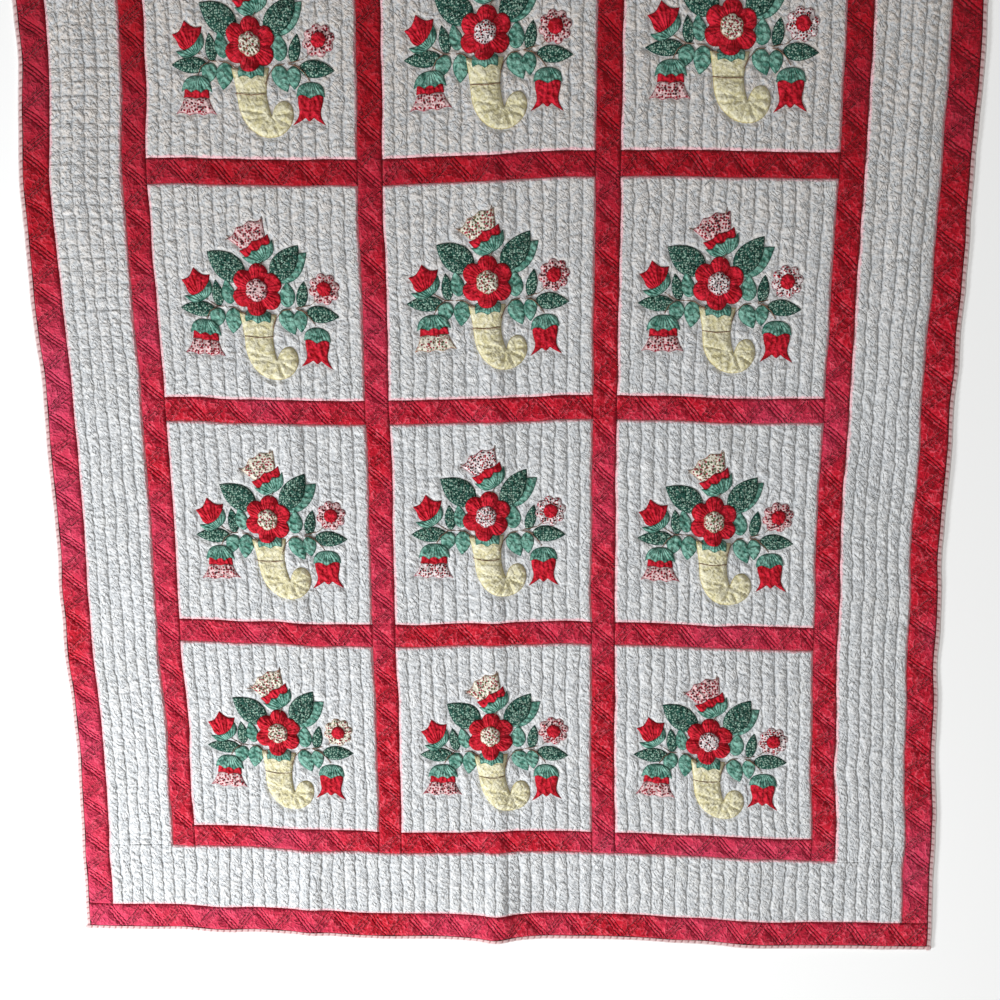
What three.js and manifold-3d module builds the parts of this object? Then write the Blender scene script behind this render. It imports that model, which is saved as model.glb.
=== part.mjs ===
// An applique quilt laid out on a floor: white blocks, each with a horn of flowers sewn on, set in red
// sashing, with a wide white border, a red band and a narrow bound edge, all on one whole-cloth backing.
// Millimetres, +X to the right, +Y to the quilt's top edge, +Z up, the origin on the floor under its middle.
import * as THREE from "three";
import { mergeVertices } from "three/addons/utils/BufferGeometryUtils.js";
import Module from "manifold-3d";

const wasm = await Module();
wasm.setup();

// Plan of the patchwork. The channels of stitching draw a block in across its width.
const COLUMNS = 3;
const ROWS = 4;
const BLOCK_WIDE = 403;
const BLOCK_HIGH = 411;
const SASH = 52;
const BORDER = 138;
const BAND = 56;
const BINDING = 9;
const CLEAR = 0.3; // between any two pieces

// Heights above the floor where the quilt lies flat.
const BACKING_TOP = 1.2;
const TOP_UNDER = BACKING_TOP + CLEAR; // underside of everything pieced into the top
const STITCHED = 3.4; // top of the padding where a line of stitching holds it down
const WHITE_PUFF = 6.2; // crest between two lines of stitching
const RED_PUFF = 5.6;

// Quilting: the width of a channel, and how far one leg of the red strips' zigzag goes along the strip.
const CHANNEL = 25.4;
const ZIGZAG_LEG = 51;

// Where a piece bends between its seams, as shares of its width: closest in a block's middle, where it folds.
const BLOCK_BENDS = [0.25, 0.375, 0.5, 0.625, 0.75];
const BORDER_BENDS = [1 / 3, 2 / 3];

// The binding's rounded section, from the quilt's outer edge inwards.
const BINDING_ROLL = [
  { across: 0, high: 2.2 },
  { across: 0.3, high: 4.6 },
  { across: 1, high: 5.4 },
];

// Soft folds in the laid cloth: the crest's x, the stretch of y it runs over, its height, and its reach to
// each side.
const FOLDS = [
  { x: 0, from: -1155, to: 1155, high: 7, reach: 50 },
  { x: 0, from: -1155, to: -1085, high: 11, reach: 130 },
  { x: -405, from: -437, to: -26, high: 3, reach: 50 },
  { x: -405, from: -1155, to: -952, high: 3, reach: 50 },
  { x: 455, from: -437, to: -26, high: 3, reach: 50 },
  { x: -610, from: -1155, to: -1085, high: 5, reach: 120 },
  { x: 530, from: -1155, to: -1085, high: 6, reach: 120 },
  { x: -455, from: 1085, to: 1155, high: 6, reach: 120 },
  { x: 300, from: 1085, to: 1155, high: 7, reach: 120 },
  { x: -800, from: 437, to: 900, high: 6, reach: 60 },
  { x: 800, from: 26, to: 900, high: 5, reach: 60 },
];

// How far the left and right edges stand off a straight line, down the length of the quilt.
const EDGE_SWAY = [
  { y: -1155, left: -6, right: 16 },
  { y: -926, left: 0, right: 13 },
  { y: -700, left: 4, right: -1 },
  { y: -463, left: -4, right: -9 },
  { y: -232, left: -2, right: -14 },
  { y: 0, left: -4, right: -10 },
  { y: 232, left: -12, right: -6 },
  { y: 437, left: -16, right: -1 },
  { y: 695, left: 2, right: 1 },
  { y: 1155, left: -4, right: -2 },
];
const ROW_SWAY = { high: 5, crest: 200, wave: 900 }; // the horizontal seams' gentle wave along x

// The bouquet, from the middle of its block: how far it stands up, and its leaves from stalk to tip.
const BOUQUET_RAISE = 2;
const LEAVES = [
  { stalk: [-30, 30], tip: [-105, 80], wide: 50 },
  { stalk: [18, 24], tip: [86, 94], wide: 48 },
  { stalk: [-92, -14], tip: [-87, 26], wide: 22 },
  { stalk: [-58, -14], tip: [-71, 26], wide: 25 },
  { stalk: [-80, -14], tip: [-168, -32], wide: 30 },
  { stalk: [-82, -14], tip: [-100, -70], wide: 30 },
  { stalk: [-54, -14], tip: [-61, -78], wide: 31 },
  { stalk: [47, -11], tip: [50, 24], wide: 26 },
  { stalk: [75, -9], tip: [80, 26], wide: 22 },
  { stalk: [68, -10], tip: [151, -37], wide: 31 },
  { stalk: [37, -12], tip: [58, -77], wide: 31 },
  { stalk: [72, -9], tip: [86, -76], wide: 27 },
];
const LEAF_SECTIONS = [
  { along: 0.3, half: 0.86 },
  { along: 0.68, half: 0.92 },
];
const SLIM_LEAF = 31; // a leaf narrower than this has one bend in each edge
const SLIM_SECTIONS = [{ along: 0.52, half: 1 }];
const STEMS = [
  { from: [-30, -14], to: [-124, -14], wide: 6 },
  { from: [10, -14], to: [106, -6], wide: 6 },
];
const ROSE = { x: -10, y: 6, radius: 46, notch: 0.12, petals: 6 };
const DAISY = { x: 120, y: 14, radius: 30, notch: 0.1, petals: 5 };

// Half outlines of the flowers that are alike on both sides, from the foot up.
const BUD = [
  { along: -10, half: 12 },
  { along: 12, half: 28 },
  { along: 34, half: 34 },
  { along: 78, half: 36 },
  { along: 74, half: 0 },
];
const TULIP = [
  { along: -8, half: 8 },
  { along: 4, half: 26 },
  { along: 55, half: 25 },
  { along: 42, half: 11 },
  { along: 57, half: 0 },
];
const BELL = [
  { along: 0, half: 9 },
  { along: 12, half: 28 },
  { along: 44, half: 28 },
  { along: 68, half: 40 },
  { along: 72, half: 0 },
];
const HEADS = [
  { foot: [9, 60], lean: 30, outline: BUD },
  { foot: [-127, -8], lean: 14, outline: TULIP },
  { foot: [104, -68], lean: 180, outline: TULIP },
  { foot: [-119, -53], lean: 180, outline: BELL },
];

// The horn: its middle line from the mouth, under the rose, to the curled tip, and half its width there.
const HORN = [
  { x: -12, y: -34, half: 30 },
  { x: -14, y: -96, half: 28 },
  { x: -4, y: -130, half: 24 },
  { x: 38, y: -126, half: 20 },
];
const HORN_TIP_STEPS = 3;

// Each bouquet was laid down by hand: its most shift in millimetres and turn in degrees, and how far on in
// the wave of each the next row and column are, so that no two bouquets lie alike.
const SHIFT = 3;
const TURN = 1.2;
const SHIFT_X_STEP = { row: 5, column: 2 };
const SHIFT_Y_STEP = { row: 3, column: 7 };
const TURN_STEP = { row: 4, column: 9 };
const TALLEST = 60; // clear above every fold
const SAME_POINT = 1e-4;

const COLOURS = {
  white: "#dcdcda",
  red: "#b3202d",
  backing: "#e2ded4",
  binding: "#eadedb",
  bouquet: "#2f7d60",
};
const CLOTH_ROUGHNESS = 0.92;

const sum = (values) => values.reduce((total, value) => total + value, 0);
const range = (count) => Array.from({ length: count }, (_, k) => k);

// Seams, and the bends between them, from one edge of the quilt to the other.
function seamLines(blocks, block, blockBends, borderBends) {
  const edge = [
    { size: BINDING, bends: [] },
    { size: BAND, bends: [] },
    { size: BORDER, bends: borderBends },
    { size: SASH, bends: [] },
  ];
  const middle = range(blocks).flatMap((k) => [
    { size: block, bends: blockBends },
    ...(k + 1 < blocks ? [{ size: SASH, bends: [] }] : []),
  ]);
  const spans = [...edge, ...middle, ...edge.toReversed()];
  const lines = [-sum(spans.map((span) => span.size)) / 2];
  for (const { size, bends } of spans) {
    const start = lines.at(-1);
    lines.push(...[...bends, 1].map((share) => start + share * size));
  }
  return lines;
}

const X_LINES = seamLines(COLUMNS, BLOCK_WIDE, BLOCK_BENDS, BORDER_BENDS);
const Y_LINES = seamLines(ROWS, BLOCK_HIGH, [], []);
const HALF_WIDE = X_LINES.at(-1);
const HALF_HIGH = Y_LINES.at(-1);

function liftAt(x, y) {
  const crossed = FOLDS.filter((fold) => y >= fold.from && y <= fold.to);
  const near = crossed.filter((fold) => Math.abs(x - fold.x) < fold.reach);
  const lift = (fold) => (fold.high * (1 + Math.cos((Math.PI * (x - fold.x)) / fold.reach))) / 2;
  return sum(near.map(lift));
}

function swayAt(x, y) {
  const above = Math.max(1, EDGE_SWAY.findIndex((row) => row.y >= y));
  const low = EDGE_SWAY[above - 1];
  const high = EDGE_SWAY[above];
  const edge = x < 0 ? "left" : "right";
  const off = THREE.MathUtils.mapLinear(y, low.y, high.y, low[edge], high[edge]);
  const wave = ROW_SWAY.high * Math.cos((2 * Math.PI * (x - ROW_SWAY.crest)) / ROW_SWAY.wave);
  return { x: (off * Math.abs(x)) / HALF_WIDE, y: wave };
}

const SHIFTS = X_LINES.map((x) =>
  Y_LINES.map((y) => new THREE.Vector3(swayAt(x, y).x, swayAt(x, y).y, liftAt(x, y))),
);

function cellOf(lines, value) {
  const above = lines.findIndex((line) => line > value);
  return (above < 0 ? lines.length - 1 : Math.max(1, above)) - 1;
}

// Where a point of the flat plan comes to lie: blended evenly between the lines, so neighbours stay in step.
function settle([x, y, z]) {
  const i = cellOf(X_LINES, x);
  const j = cellOf(Y_LINES, y);
  const s = (x - X_LINES[i]) / (X_LINES[i + 1] - X_LINES[i]);
  const t = (y - Y_LINES[j]) / (Y_LINES[j + 1] - Y_LINES[j]);
  const near = SHIFTS[i][j].clone().lerp(SHIFTS[i + 1][j], s);
  const far = SHIFTS[i][j + 1].clone().lerp(SHIFTS[i + 1][j + 1], s);
  return new THREE.Vector3(x, y, z).add(near.lerp(far, t));
}

// A piece's outline in the plan, drawn in from its seams.
function pieceBox(x0, x1, y0, y1) {
  const inset = CLEAR / 2;
  return { x0: x0 + inset, x1: x1 - inset, y0: y0 + inset, y1: y1 - inset };
}

function linesBetween(lines, low, high) {
  return [low, ...lines.filter((line) => line > low + CLEAR && line < high - CLEAR), high];
}

// Each gap between lines cut into even parts, as near to a given size as they come.
function divided(lines, size) {
  const inner = lines.slice(1).flatMap((line, k) => {
    const parts = Math.max(1, Math.round((line - lines[k]) / size));
    return range(parts).map((n) => lines[k] + ((line - lines[k]) * n) / parts);
  });
  return [...inner, lines.at(-1)];
}

// A sheet is a rectangle of triangles, seen from above, with a height at each point.
function gridSheet(xs, ys, heightOf) {
  const points = ys.flatMap((y, j) => xs.map((x, i) => [x, y, heightOf(i, j)]));
  const rows = range(ys.length - 1).map((j) => j * xs.length);
  const corners = rows.flatMap((first) => range(xs.length - 1).map((i) => first + i));
  const faces = corners.flatMap((a) => [
    [a, a + 1, a + 1 + xs.length],
    [a, a + 1 + xs.length, a + xs.length],
  ]);
  return { points, faces };
}

function levelSheet(box, height) {
  const xs = linesBetween(X_LINES, box.x0, box.x1);
  const ys = linesBetween(Y_LINES, box.y0, box.y1);
  return gridSheet(xs, ys, () => height);
}

// White ground: channels of padding run down the quilt, held down between by stitching.
function channelSheet(box) {
  const stitched = divided(linesBetween(X_LINES, box.x0, box.x1), CHANNEL);
  const xs = divided(stitched, CHANNEL / 2);
  const ys = linesBetween(Y_LINES, box.y0, box.y1);
  return gridSheet(xs, ys, (i) => (i % 2 ? WHITE_PUFF : STITCHED));
}

// Red strips: the stitching goes to and fro between the long edges, and each triangle between swells up.
function zigzagSheet(box, upright) {
  const seams = upright ? linesBetween(Y_LINES, box.y0, box.y1) : linesBetween(X_LINES, box.x0, box.x1);
  const stations = divided(seams, ZIGZAG_LEG);
  const edges = upright ? [box.x1, box.x0] : [box.y0, box.y1];
  const point = (along, across, z) => (upright ? [across, along, z] : [along, across, z]);
  const points = stations.flatMap((along) => edges.map((across) => point(along, across, STITCHED)));
  const faces = [];
  stations.forEach((_, k) => {
    const turn = (n) => (stations[n] === undefined ? null : 2 * n + (n % 2));
    const side = k % 2 ? -1 : 1;
    const opposite = 2 * k + 1 - (k % 2);
    const rim = [turn(k), turn(k + side), opposite, turn(k - side)].filter((index) => index !== null);
    const middle = [0, 1].map((axis) => sum(rim.map((index) => points[index][axis])) / rim.length);
    const crest = points.push([...middle, RED_PUFF]) - 1;
    rim.forEach((index, n) => faces.push([crest, index, rim[(n + 1) % rim.length]]));
  });
  return { points, faces };
}

// The points of a sheet on its box's edge, in order round it from the corner at x0, y0.
function rimOf(box, points) {
  const wide = box.x1 - box.x0;
  const high = box.y1 - box.y0;
  const way = ([x, y]) => {
    if (y === box.y0) return x - box.x0;
    if (x === box.x1) return wide + y - box.y0;
    if (y === box.y1) return wide + high + box.x1 - x;
    return x === box.x0 ? 2 * wide + high + box.y1 - y : null;
  };
  const marks = points.map((point, index) => ({ index, way: way(point) }));
  const rim = marks.filter((mark) => mark.way !== null);
  rim.sort((a, b) => a.way - b.way);
  return [...rim, { index: rim[0].index, way: 2 * (wide + high) }];
}

// A closed padded piece: its top and underside, joined by a wall round the edge.
function panel(box, top, under) {
  const lower = top.points.length;
  const topRim = rimOf(box, top.points);
  const underRim = rimOf(box, under.points);
  const faces = [...top.faces, ...under.faces.map(([a, b, c]) => [c + lower, b + lower, a + lower])];
  let i = 0;
  let j = 0;
  while (i + 1 < topRim.length || j + 1 < underRim.length) {
    const topNext = topRim[i + 1]?.way ?? Infinity;
    const underNext = underRim[j + 1]?.way ?? Infinity;
    const high = topRim[i].index;
    const low = underRim[j].index + lower;
    if (underNext <= topNext) {
      faces.push([low, underRim[j + 1].index + lower, high]);
      j += 1;
    } else {
      faces.push([low, topRim[i + 1].index, high]);
      i += 1;
    }
  }
  const points = [...top.points, ...under.points].map(settle);
  return new THREE.BufferGeometry().setFromPoints(points).setIndex(faces.flat());
}

function bindingPanel(box, upright, outerIsLow) {
  const [low, high] = upright ? [box.x0, box.x1] : [box.y0, box.y1];
  const roll = outerIsLow ? BINDING_ROLL : BINDING_ROLL.toReversed();
  const [outer, inner] = outerIsLow ? [low, high] : [high, low];
  const across = roll.map((row) => outer + row.across * (inner - outer));
  const xs = upright ? across : linesBetween(X_LINES, box.x0, box.x1);
  const ys = upright ? linesBetween(Y_LINES, box.y0, box.y1) : across;
  const top = gridSheet(xs, ys, (i, j) => roll[upright ? i : j].high);
  return panel(box, top, levelSheet(box, 0));
}

// Solids for joining and cutting.
function solidOf(geometry) {
  const bare = geometry.clone();
  bare.deleteAttribute("normal");
  bare.deleteAttribute("uv");
  const merged = mergeVertices(bare, SAME_POINT);
  const vertProperties = new Float32Array(merged.attributes.position.array);
  const triVerts = new Uint32Array(merged.index.array);
  return new wasm.Manifold(new wasm.Mesh({ numProp: 3, vertProperties, triVerts }));
}

function geometryOf(solid) {
  const mesh = solid.getMesh();
  return new THREE.BufferGeometry()
    .setAttribute("position", new THREE.BufferAttribute(new Float32Array(mesh.vertProperties), 3))
    .setIndex(new THREE.BufferAttribute(new Uint32Array(mesh.triVerts), 1));
}

// Outlines of the bouquet's patches.
function leafOutline({ stalk, tip, wide }) {
  const foot = new THREE.Vector2(...stalk);
  const along = new THREE.Vector2(...tip).sub(foot);
  const across = new THREE.Vector2(-along.y, along.x).setLength(wide / 2);
  const sections = wide < SLIM_LEAF ? SLIM_SECTIONS : LEAF_SECTIONS;
  const point = (row, side) =>
    foot.clone().addScaledVector(along, row.along).addScaledVector(across, side * row.half);
  const edge = (side) => sections.map((row) => point(row, side));
  return [foot, ...edge(1), foot.clone().add(along), ...edge(-1).reverse()];
}

function stemOutline({ from, to, wide }) {
  const foot = new THREE.Vector2(...from);
  const head = new THREE.Vector2(...to);
  const along = head.clone().sub(foot);
  const across = new THREE.Vector2(-along.y, along.x).setLength(wide / 2);
  const end = (point) => [point.clone().add(across), point.clone().sub(across)];
  return [...end(foot), ...end(head).reverse()];
}

function blossomOutline({ x, y, radius, petals, notch }) {
  return range(2 * petals).map((k) => {
    const turn = (Math.PI * k) / petals;
    const reach = radius * (k % 2 ? 1 - notch : 1);
    return new THREE.Vector2(x + reach * Math.cos(turn), y + reach * Math.sin(turn));
  });
}

function headOutline({ foot, lean, outline }) {
  const base = new THREE.Vector2(...foot);
  const turn = THREE.MathUtils.degToRad(lean);
  const right = outline.map(({ along, half }) => new THREE.Vector2(half, along));
  const paired = outline.filter((row) => row.half > 0);
  const left = paired.map(({ along, half }) => new THREE.Vector2(-half, along)).reverse();
  return [...right, ...left].map((point) => point.add(base).rotateAround(base, turn));
}

function hornOutline() {
  const line = new THREE.SplineCurve(HORN.map(({ x, y }) => new THREE.Vector2(x, y)));
  const last = HORN.length - 1;
  const side = (sign) =>
    HORN.map(({ half }, k) => {
      const way = line.getTangent(k / last);
      return line.getPoint(k / last).addScaledVector(new THREE.Vector2(-way.y, way.x), sign * half);
    });
  const tip = new THREE.Vector2(HORN[last].x, HORN[last].y);
  const start = side(-1)[last];
  const cap = range(HORN_TIP_STEPS).map((k) =>
    start.clone().rotateAround(tip, (Math.PI * (k + 1)) / (HORN_TIP_STEPS + 1)),
  );
  return [...side(-1), ...cap, ...side(1).reverse()];
}

const OUTLINES = [
  ...LEAVES.map(leafOutline),
  ...STEMS.map(stemOutline),
  ...HEADS.map(headOutline),
  ...[ROSE, DAISY].map(blossomOutline),
  hornOutline(),
];

// One block's bouquet, lying on the crests of its channels and over any fold under it.
function bouquet(box, row, column) {
  const middle = new THREE.Vector2((box.x0 + box.x1) / 2, (box.y0 + box.y1) / 2);
  const wave = (step) => step.row * row + step.column * column;
  const nudge = new THREE.Vector2(Math.sin(wave(SHIFT_X_STEP)), Math.cos(wave(SHIFT_Y_STEP)));
  const turn = THREE.MathUtils.degToRad(TURN) * Math.sin(wave(TURN_STEP));
  const centre = middle.addScaledVector(nudge, SHIFT);
  const uprights = OUTLINES.map((outline) => {
    const placed = outline.map((point) => point.clone().add(centre).rotateAround(centre, turn));
    const shape = new THREE.Shape(placed);
    return solidOf(new THREE.ExtrudeGeometry(shape, { depth: TALLEST, bevelEnabled: false }));
  });
  const base = WHITE_PUFF + CLEAR;
  const layer = panel(box, levelSheet(box, base + BOUQUET_RAISE), levelSheet(box, base));
  return geometryOf(uprights.reduce((joined, next) => joined.add(next)).intersect(solidOf(layer)));
}

const quilt = new THREE.Group();
function sew(name, geometry, color) {
  const cloth = new THREE.MeshStandardMaterial({ color, roughness: CLOTH_ROUGHNESS, metalness: 0 });
  const mesh = new THREE.Mesh(geometry, cloth);
  mesh.name = name;
  quilt.add(mesh);
}

function sewWhite(name, box) {
  sew(name, panel(box, channelSheet(box), levelSheet(box, TOP_UNDER)), COLOURS.white);
}

function sewRed(name, box, upright) {
  sew(name, panel(box, zigzagSheet(box, upright), levelSheet(box, TOP_UNDER)), COLOURS.red);
}

// Seams counted inwards from the quilt's outer edge.
const bandX = HALF_WIDE - BINDING;
const bandY = HALF_HIGH - BINDING;
const borderX = bandX - BAND;
const borderY = bandY - BAND;
const sashX = borderX - BORDER;
const sashY = borderY - BORDER;

const whole = pieceBox(-bandX, bandX, -bandY, bandY);
sew("backing", panel(whole, levelSheet(whole, BACKING_TOP), levelSheet(whole, 0)), COLOURS.backing);

range(COLUMNS + 1).forEach((column) => {
  const x = -sashX + column * (BLOCK_WIDE + SASH);
  sewRed(`sash_down_${column + 1}`, pieceBox(x, x + SASH, -sashY, sashY), true);
});

range(COLUMNS).forEach((column) => {
  const x = -sashX + SASH + column * (BLOCK_WIDE + SASH);
  range(ROWS + 1).forEach((row) => {
    const y = sashY - row * (BLOCK_HIGH + SASH);
    sewRed(`sash_across_${row + 1}_${column + 1}`, pieceBox(x, x + BLOCK_WIDE, y - SASH, y), false);
  });
  range(ROWS).forEach((row) => {
    const y = sashY - SASH - row * (BLOCK_HIGH + SASH);
    const box = pieceBox(x, x + BLOCK_WIDE, y - BLOCK_HIGH, y);
    sewWhite(`block_${row + 1}_${column + 1}`, box);
    sew(`bouquet_${row + 1}_${column + 1}`, bouquet(box, row, column), COLOURS.bouquet);
  });
});

sewWhite("border_left", pieceBox(-borderX, -sashX, -sashY, sashY));
sewWhite("border_right", pieceBox(sashX, borderX, -sashY, sashY));
sewWhite("border_top", pieceBox(-borderX, borderX, sashY, borderY));
sewWhite("border_bottom", pieceBox(-borderX, borderX, -borderY, -sashY));

sewRed("band_left", pieceBox(-bandX, -borderX, -borderY, borderY), true);
sewRed("band_right", pieceBox(borderX, bandX, -borderY, borderY), true);
sewRed("band_top", pieceBox(-bandX, bandX, borderY, bandY), false);
sewRed("band_bottom", pieceBox(-bandX, bandX, -bandY, -borderY), false);

function sewBinding(side, box, upright, outerIsLow) {
  sew(`binding_${side}`, bindingPanel(box, upright, outerIsLow), COLOURS.binding);
}

sewBinding("left", pieceBox(-HALF_WIDE, -bandX, -bandY, bandY), true, true);
sewBinding("right", pieceBox(bandX, HALF_WIDE, -bandY, bandY), true, false);
sewBinding("top", pieceBox(-HALF_WIDE, HALF_WIDE, bandY, HALF_HIGH), false, false);
sewBinding("bottom", pieceBox(-HALF_WIDE, HALF_WIDE, -HALF_HIGH, -bandY), false, true);

export default quilt;
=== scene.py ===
# %% [markdown]
# # An applique quilt
# A quilt is a sandwich: a pieced top, thin wadding and one whole backing cloth, held together by lines of
# running stitch. Washing shrinks the wadding, and the cloth between the lines swells and puckers. The
# frame brings the quilt's plain solids. This lesson dresses them with sheets of cloth that carry those
# swells and puckers, and with the patches of flowers that are sewn on top.

# %% Load the frame
import math
from collections import namedtuple

import bpy
import numpy as np
from mathutils import Matrix, Vector
from mathutils.geometry import delaunay_2d_cdt


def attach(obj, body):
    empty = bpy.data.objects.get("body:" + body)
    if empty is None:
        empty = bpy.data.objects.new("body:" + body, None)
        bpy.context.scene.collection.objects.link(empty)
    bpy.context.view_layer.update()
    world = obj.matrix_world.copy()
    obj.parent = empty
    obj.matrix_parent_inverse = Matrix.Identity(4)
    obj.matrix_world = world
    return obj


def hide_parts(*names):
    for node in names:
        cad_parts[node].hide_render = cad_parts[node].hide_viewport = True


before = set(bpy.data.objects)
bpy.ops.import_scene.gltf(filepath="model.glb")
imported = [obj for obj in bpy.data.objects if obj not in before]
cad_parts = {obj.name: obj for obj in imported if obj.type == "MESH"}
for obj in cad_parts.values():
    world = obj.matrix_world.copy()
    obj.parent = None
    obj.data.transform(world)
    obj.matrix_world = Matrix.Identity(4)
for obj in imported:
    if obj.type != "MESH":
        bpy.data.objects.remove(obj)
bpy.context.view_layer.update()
print("frame:", len(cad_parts), "solids")

# %% [markdown]
# ## The plan
# Every piece starts flat on a plan in millimetres: three columns and four rows of white blocks in red
# sashing, a white border, a red band and a bound edge. A box is its left, right, low and top seam. The
# pieces could be placed one by one, but a plan made from a few widths keeps every seam shared by two
# pieces. The white cloth swells a little over the red at each seam, so white boxes grow and red ones
# shrink.

# %% Seams of the plan
MM = 0.001
COLUMNS = 3
ROWS = 4
BLOCK_WIDE = 403
BLOCK_HIGH = 411
SASH = 52
BORDER = 138
BAND = 56
BINDING = 9
OVER = 2
SASH_X = (COLUMNS * BLOCK_WIDE + (COLUMNS + 1) * SASH) / 2
SASH_Y = (ROWS * BLOCK_HIGH + (ROWS + 1) * SASH) / 2
BAND_X = SASH_X + BORDER + BAND
BAND_Y = SASH_Y + BORDER + BAND
HALF_WIDE = BAND_X + BINDING
HALF_HIGH = BAND_Y + BINDING
INNER_X, INNER_Y = SASH_X - OVER, SASH_Y - OVER
OUTER_X, OUTER_Y = SASH_X + BORDER + OVER, SASH_Y + BORDER + OVER
Box = namedtuple("Box", "left right low top")


def span(box):
    """How wide and how high a box is."""
    return box.right - box.left, box.top - box.low


BLOCKS = {}
ACROSS = {}
DOWN = {}
for column in range(COLUMNS + 1):
    strip = -SASH_X + column * (BLOCK_WIDE + SASH)
    left = strip + SASH
    DOWN[f"{column + 1}"] = Box(strip + OVER, left - OVER, -SASH_Y + OVER, SASH_Y - OVER)
    if column == COLUMNS:
        break
    sides = (left - OVER, left + BLOCK_WIDE + OVER)
    for row in range(ROWS + 1):
        top = SASH_Y - row * (BLOCK_HIGH + SASH)
        low = top - SASH
        name = f"{row + 1}_{column + 1}"
        ACROSS[name] = Box(*sides, low + OVER, top - OVER)
        if row < ROWS:
            BLOCKS[name] = Box(*sides, low - BLOCK_HIGH - OVER, low + OVER)
BORDERS = {
    "left": Box(-OUTER_X, -INNER_X, -INNER_Y, INNER_Y),
    "right": Box(INNER_X, OUTER_X, -INNER_Y, INNER_Y),
    "top": Box(-OUTER_X, OUTER_X, INNER_Y, OUTER_Y),
    "bottom": Box(-OUTER_X, OUTER_X, -OUTER_Y, -INNER_Y),
}
BANDS = {
    "left": Box(-BAND_X, -OUTER_X, -OUTER_Y, OUTER_Y),
    "right": Box(OUTER_X, BAND_X, -OUTER_Y, OUTER_Y),
    "top": Box(-BAND_X, BAND_X, OUTER_Y, BAND_Y),
    "bottom": Box(-BAND_X, BAND_X, -BAND_Y, -OUTER_Y),
}
print("plan:", 2 * HALF_WIDE, "by", 2 * HALF_HIGH, "mm")

# %% [markdown]
# ## How the quilt lies
# No laid quilt is flat and square. This one has a fold down its middle, shorter folds beside it, a fluted
# hem, edges that sway in and out, and seams that waver. Bending each piece by hand would open the seams,
# so one function moves any point of the plan to where it lies. Smooth random waves come from small
# tables. The last number that a wave is given is its seed, so every run lays the same quilt.

# %% Folds, sway and waver
Fold = namedtuple("Fold", "x fades_from full_from full_to fades_to high reach")
FOLDS = [
    Fold(0, -1300, -1200, 1200, 1300, 6.5, 46),
    Fold(0, -1500, -1150, -1120, -960, 11, 120),
    Fold(-405, -500, -430, -60, 40, 5, 46),
    Fold(-405, -1300, -1160, -960, -880, 4.5, 46),
    Fold(455, -480, -400, -80, 20, 3.5, 46),
    Fold(-610, -1500, -1155, -1120, -960, 5, 115),
    Fold(530, -1500, -1155, -1120, -960, 6, 115),
    Fold(-455, 960, 1120, 1155, 1500, 6, 115),
    Fold(300, 960, 1120, 1155, 1500, 7, 115),
    Fold(-800, 200, 480, 860, 960, 5, 58),
    Fold(800, -120, 80, 860, 960, 4, 58),
]
CREST_WANDER = 5
CREST_LONG = 170
SWAY_AT = np.array([-1155, -926, -700, -463, -232, 0, 232, 437, 695, 1155.0])
SWAY_LEFT = np.array([-6, 0, 4, -4, -2, -4, -12, -16, 2, -4.0])
SWAY_RIGHT = np.array([16, 13, -1, -9, -14, -10, -6, -1, 1, -2.0])
ROW_SWAY = 5
ROW_CREST = 200
ROW_WAVE = 900
WAVER = 2.2
WAVER_LONG = 75
LUMP = 0.9
LUMP_LONG = 130
WAVE_CELLS = 64


def smooth(share):
    return share * share * (3 - 2 * share)


def sampled(table, x, y, soft):
    """A table's values at places between its cells, with a straight or a soft change from cell to cell."""
    wide, high = table.shape
    i, j = np.floor(x).astype(int), np.floor(y).astype(int)
    s, t = x - i, y - j
    if soft:
        s, t = smooth(s), smooth(t)
    low = table[i % wide, j % high] * (1 - s) + table[(i + 1) % wide, j % high] * s
    top = table[i % wide, (j + 1) % high] * (1 - s) + table[(i + 1) % wide, (j + 1) % high] * s
    return low * (1 - t) + top * t


def ripple(x, y, seed):
    """Smooth random waves between -1 and 1, about two units long."""
    table = np.random.default_rng(seed).uniform(-1, 1, (WAVE_CELLS, WAVE_CELLS))
    return sampled(table, *np.broadcast_arrays(x, y), True)


def eased(value, low, high):
    """0 up to low, 1 from high on, and a smooth climb between."""
    return smooth(np.clip((value - low) / (high - low), 0, 1))


def edge_sway(y, offsets):
    at = np.clip(np.searchsorted(SWAY_AT, y) - 1, 0, len(SWAY_AT) - 2)
    share = eased(y, SWAY_AT[at], SWAY_AT[at + 1])
    return offsets[at] * (1 - share) + offsets[at + 1] * share


def lift_of(x, y):
    """How high folds and lumps lift the quilt."""
    lift = LUMP * (1 + ripple(x / LUMP_LONG, y / LUMP_LONG, 3))
    for fold in FOLDS:
        crest = fold.x + CREST_WANDER * ripple(fold.x, y / CREST_LONG, 5)
        across = np.clip(np.abs(x - crest) / fold.reach, 0, 1)
        along = eased(y, fold.fades_from, fold.full_from) * (1 - eased(y, fold.full_to, fold.fades_to))
        lift = lift + fold.high * along * (1 + np.cos(np.pi * across)) / 2
    return lift


def settled(x, y, high):
    """Points of the plan, at a height in the quilt, where the laid quilt has them, in metres."""
    sway = np.where(x < 0, edge_sway(y, SWAY_LEFT), edge_sway(y, SWAY_RIGHT)) * np.abs(x) / HALF_WIDE
    wave = ROW_SWAY * np.cos(2 * np.pi * (x - ROW_CREST) / ROW_WAVE)
    aside = WAVER * ripple(x / WAVER_LONG, y / WAVER_LONG, 1)
    along = WAVER * ripple(x / WAVER_LONG, y / WAVER_LONG, 2)
    return np.stack([x + sway + aside, y + wave + along, high + lift_of(x, y)], -1) * MM


print("folds:", len(FOLDS), "the highest", max(fold.high for fold in FOLDS), "mm")

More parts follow.
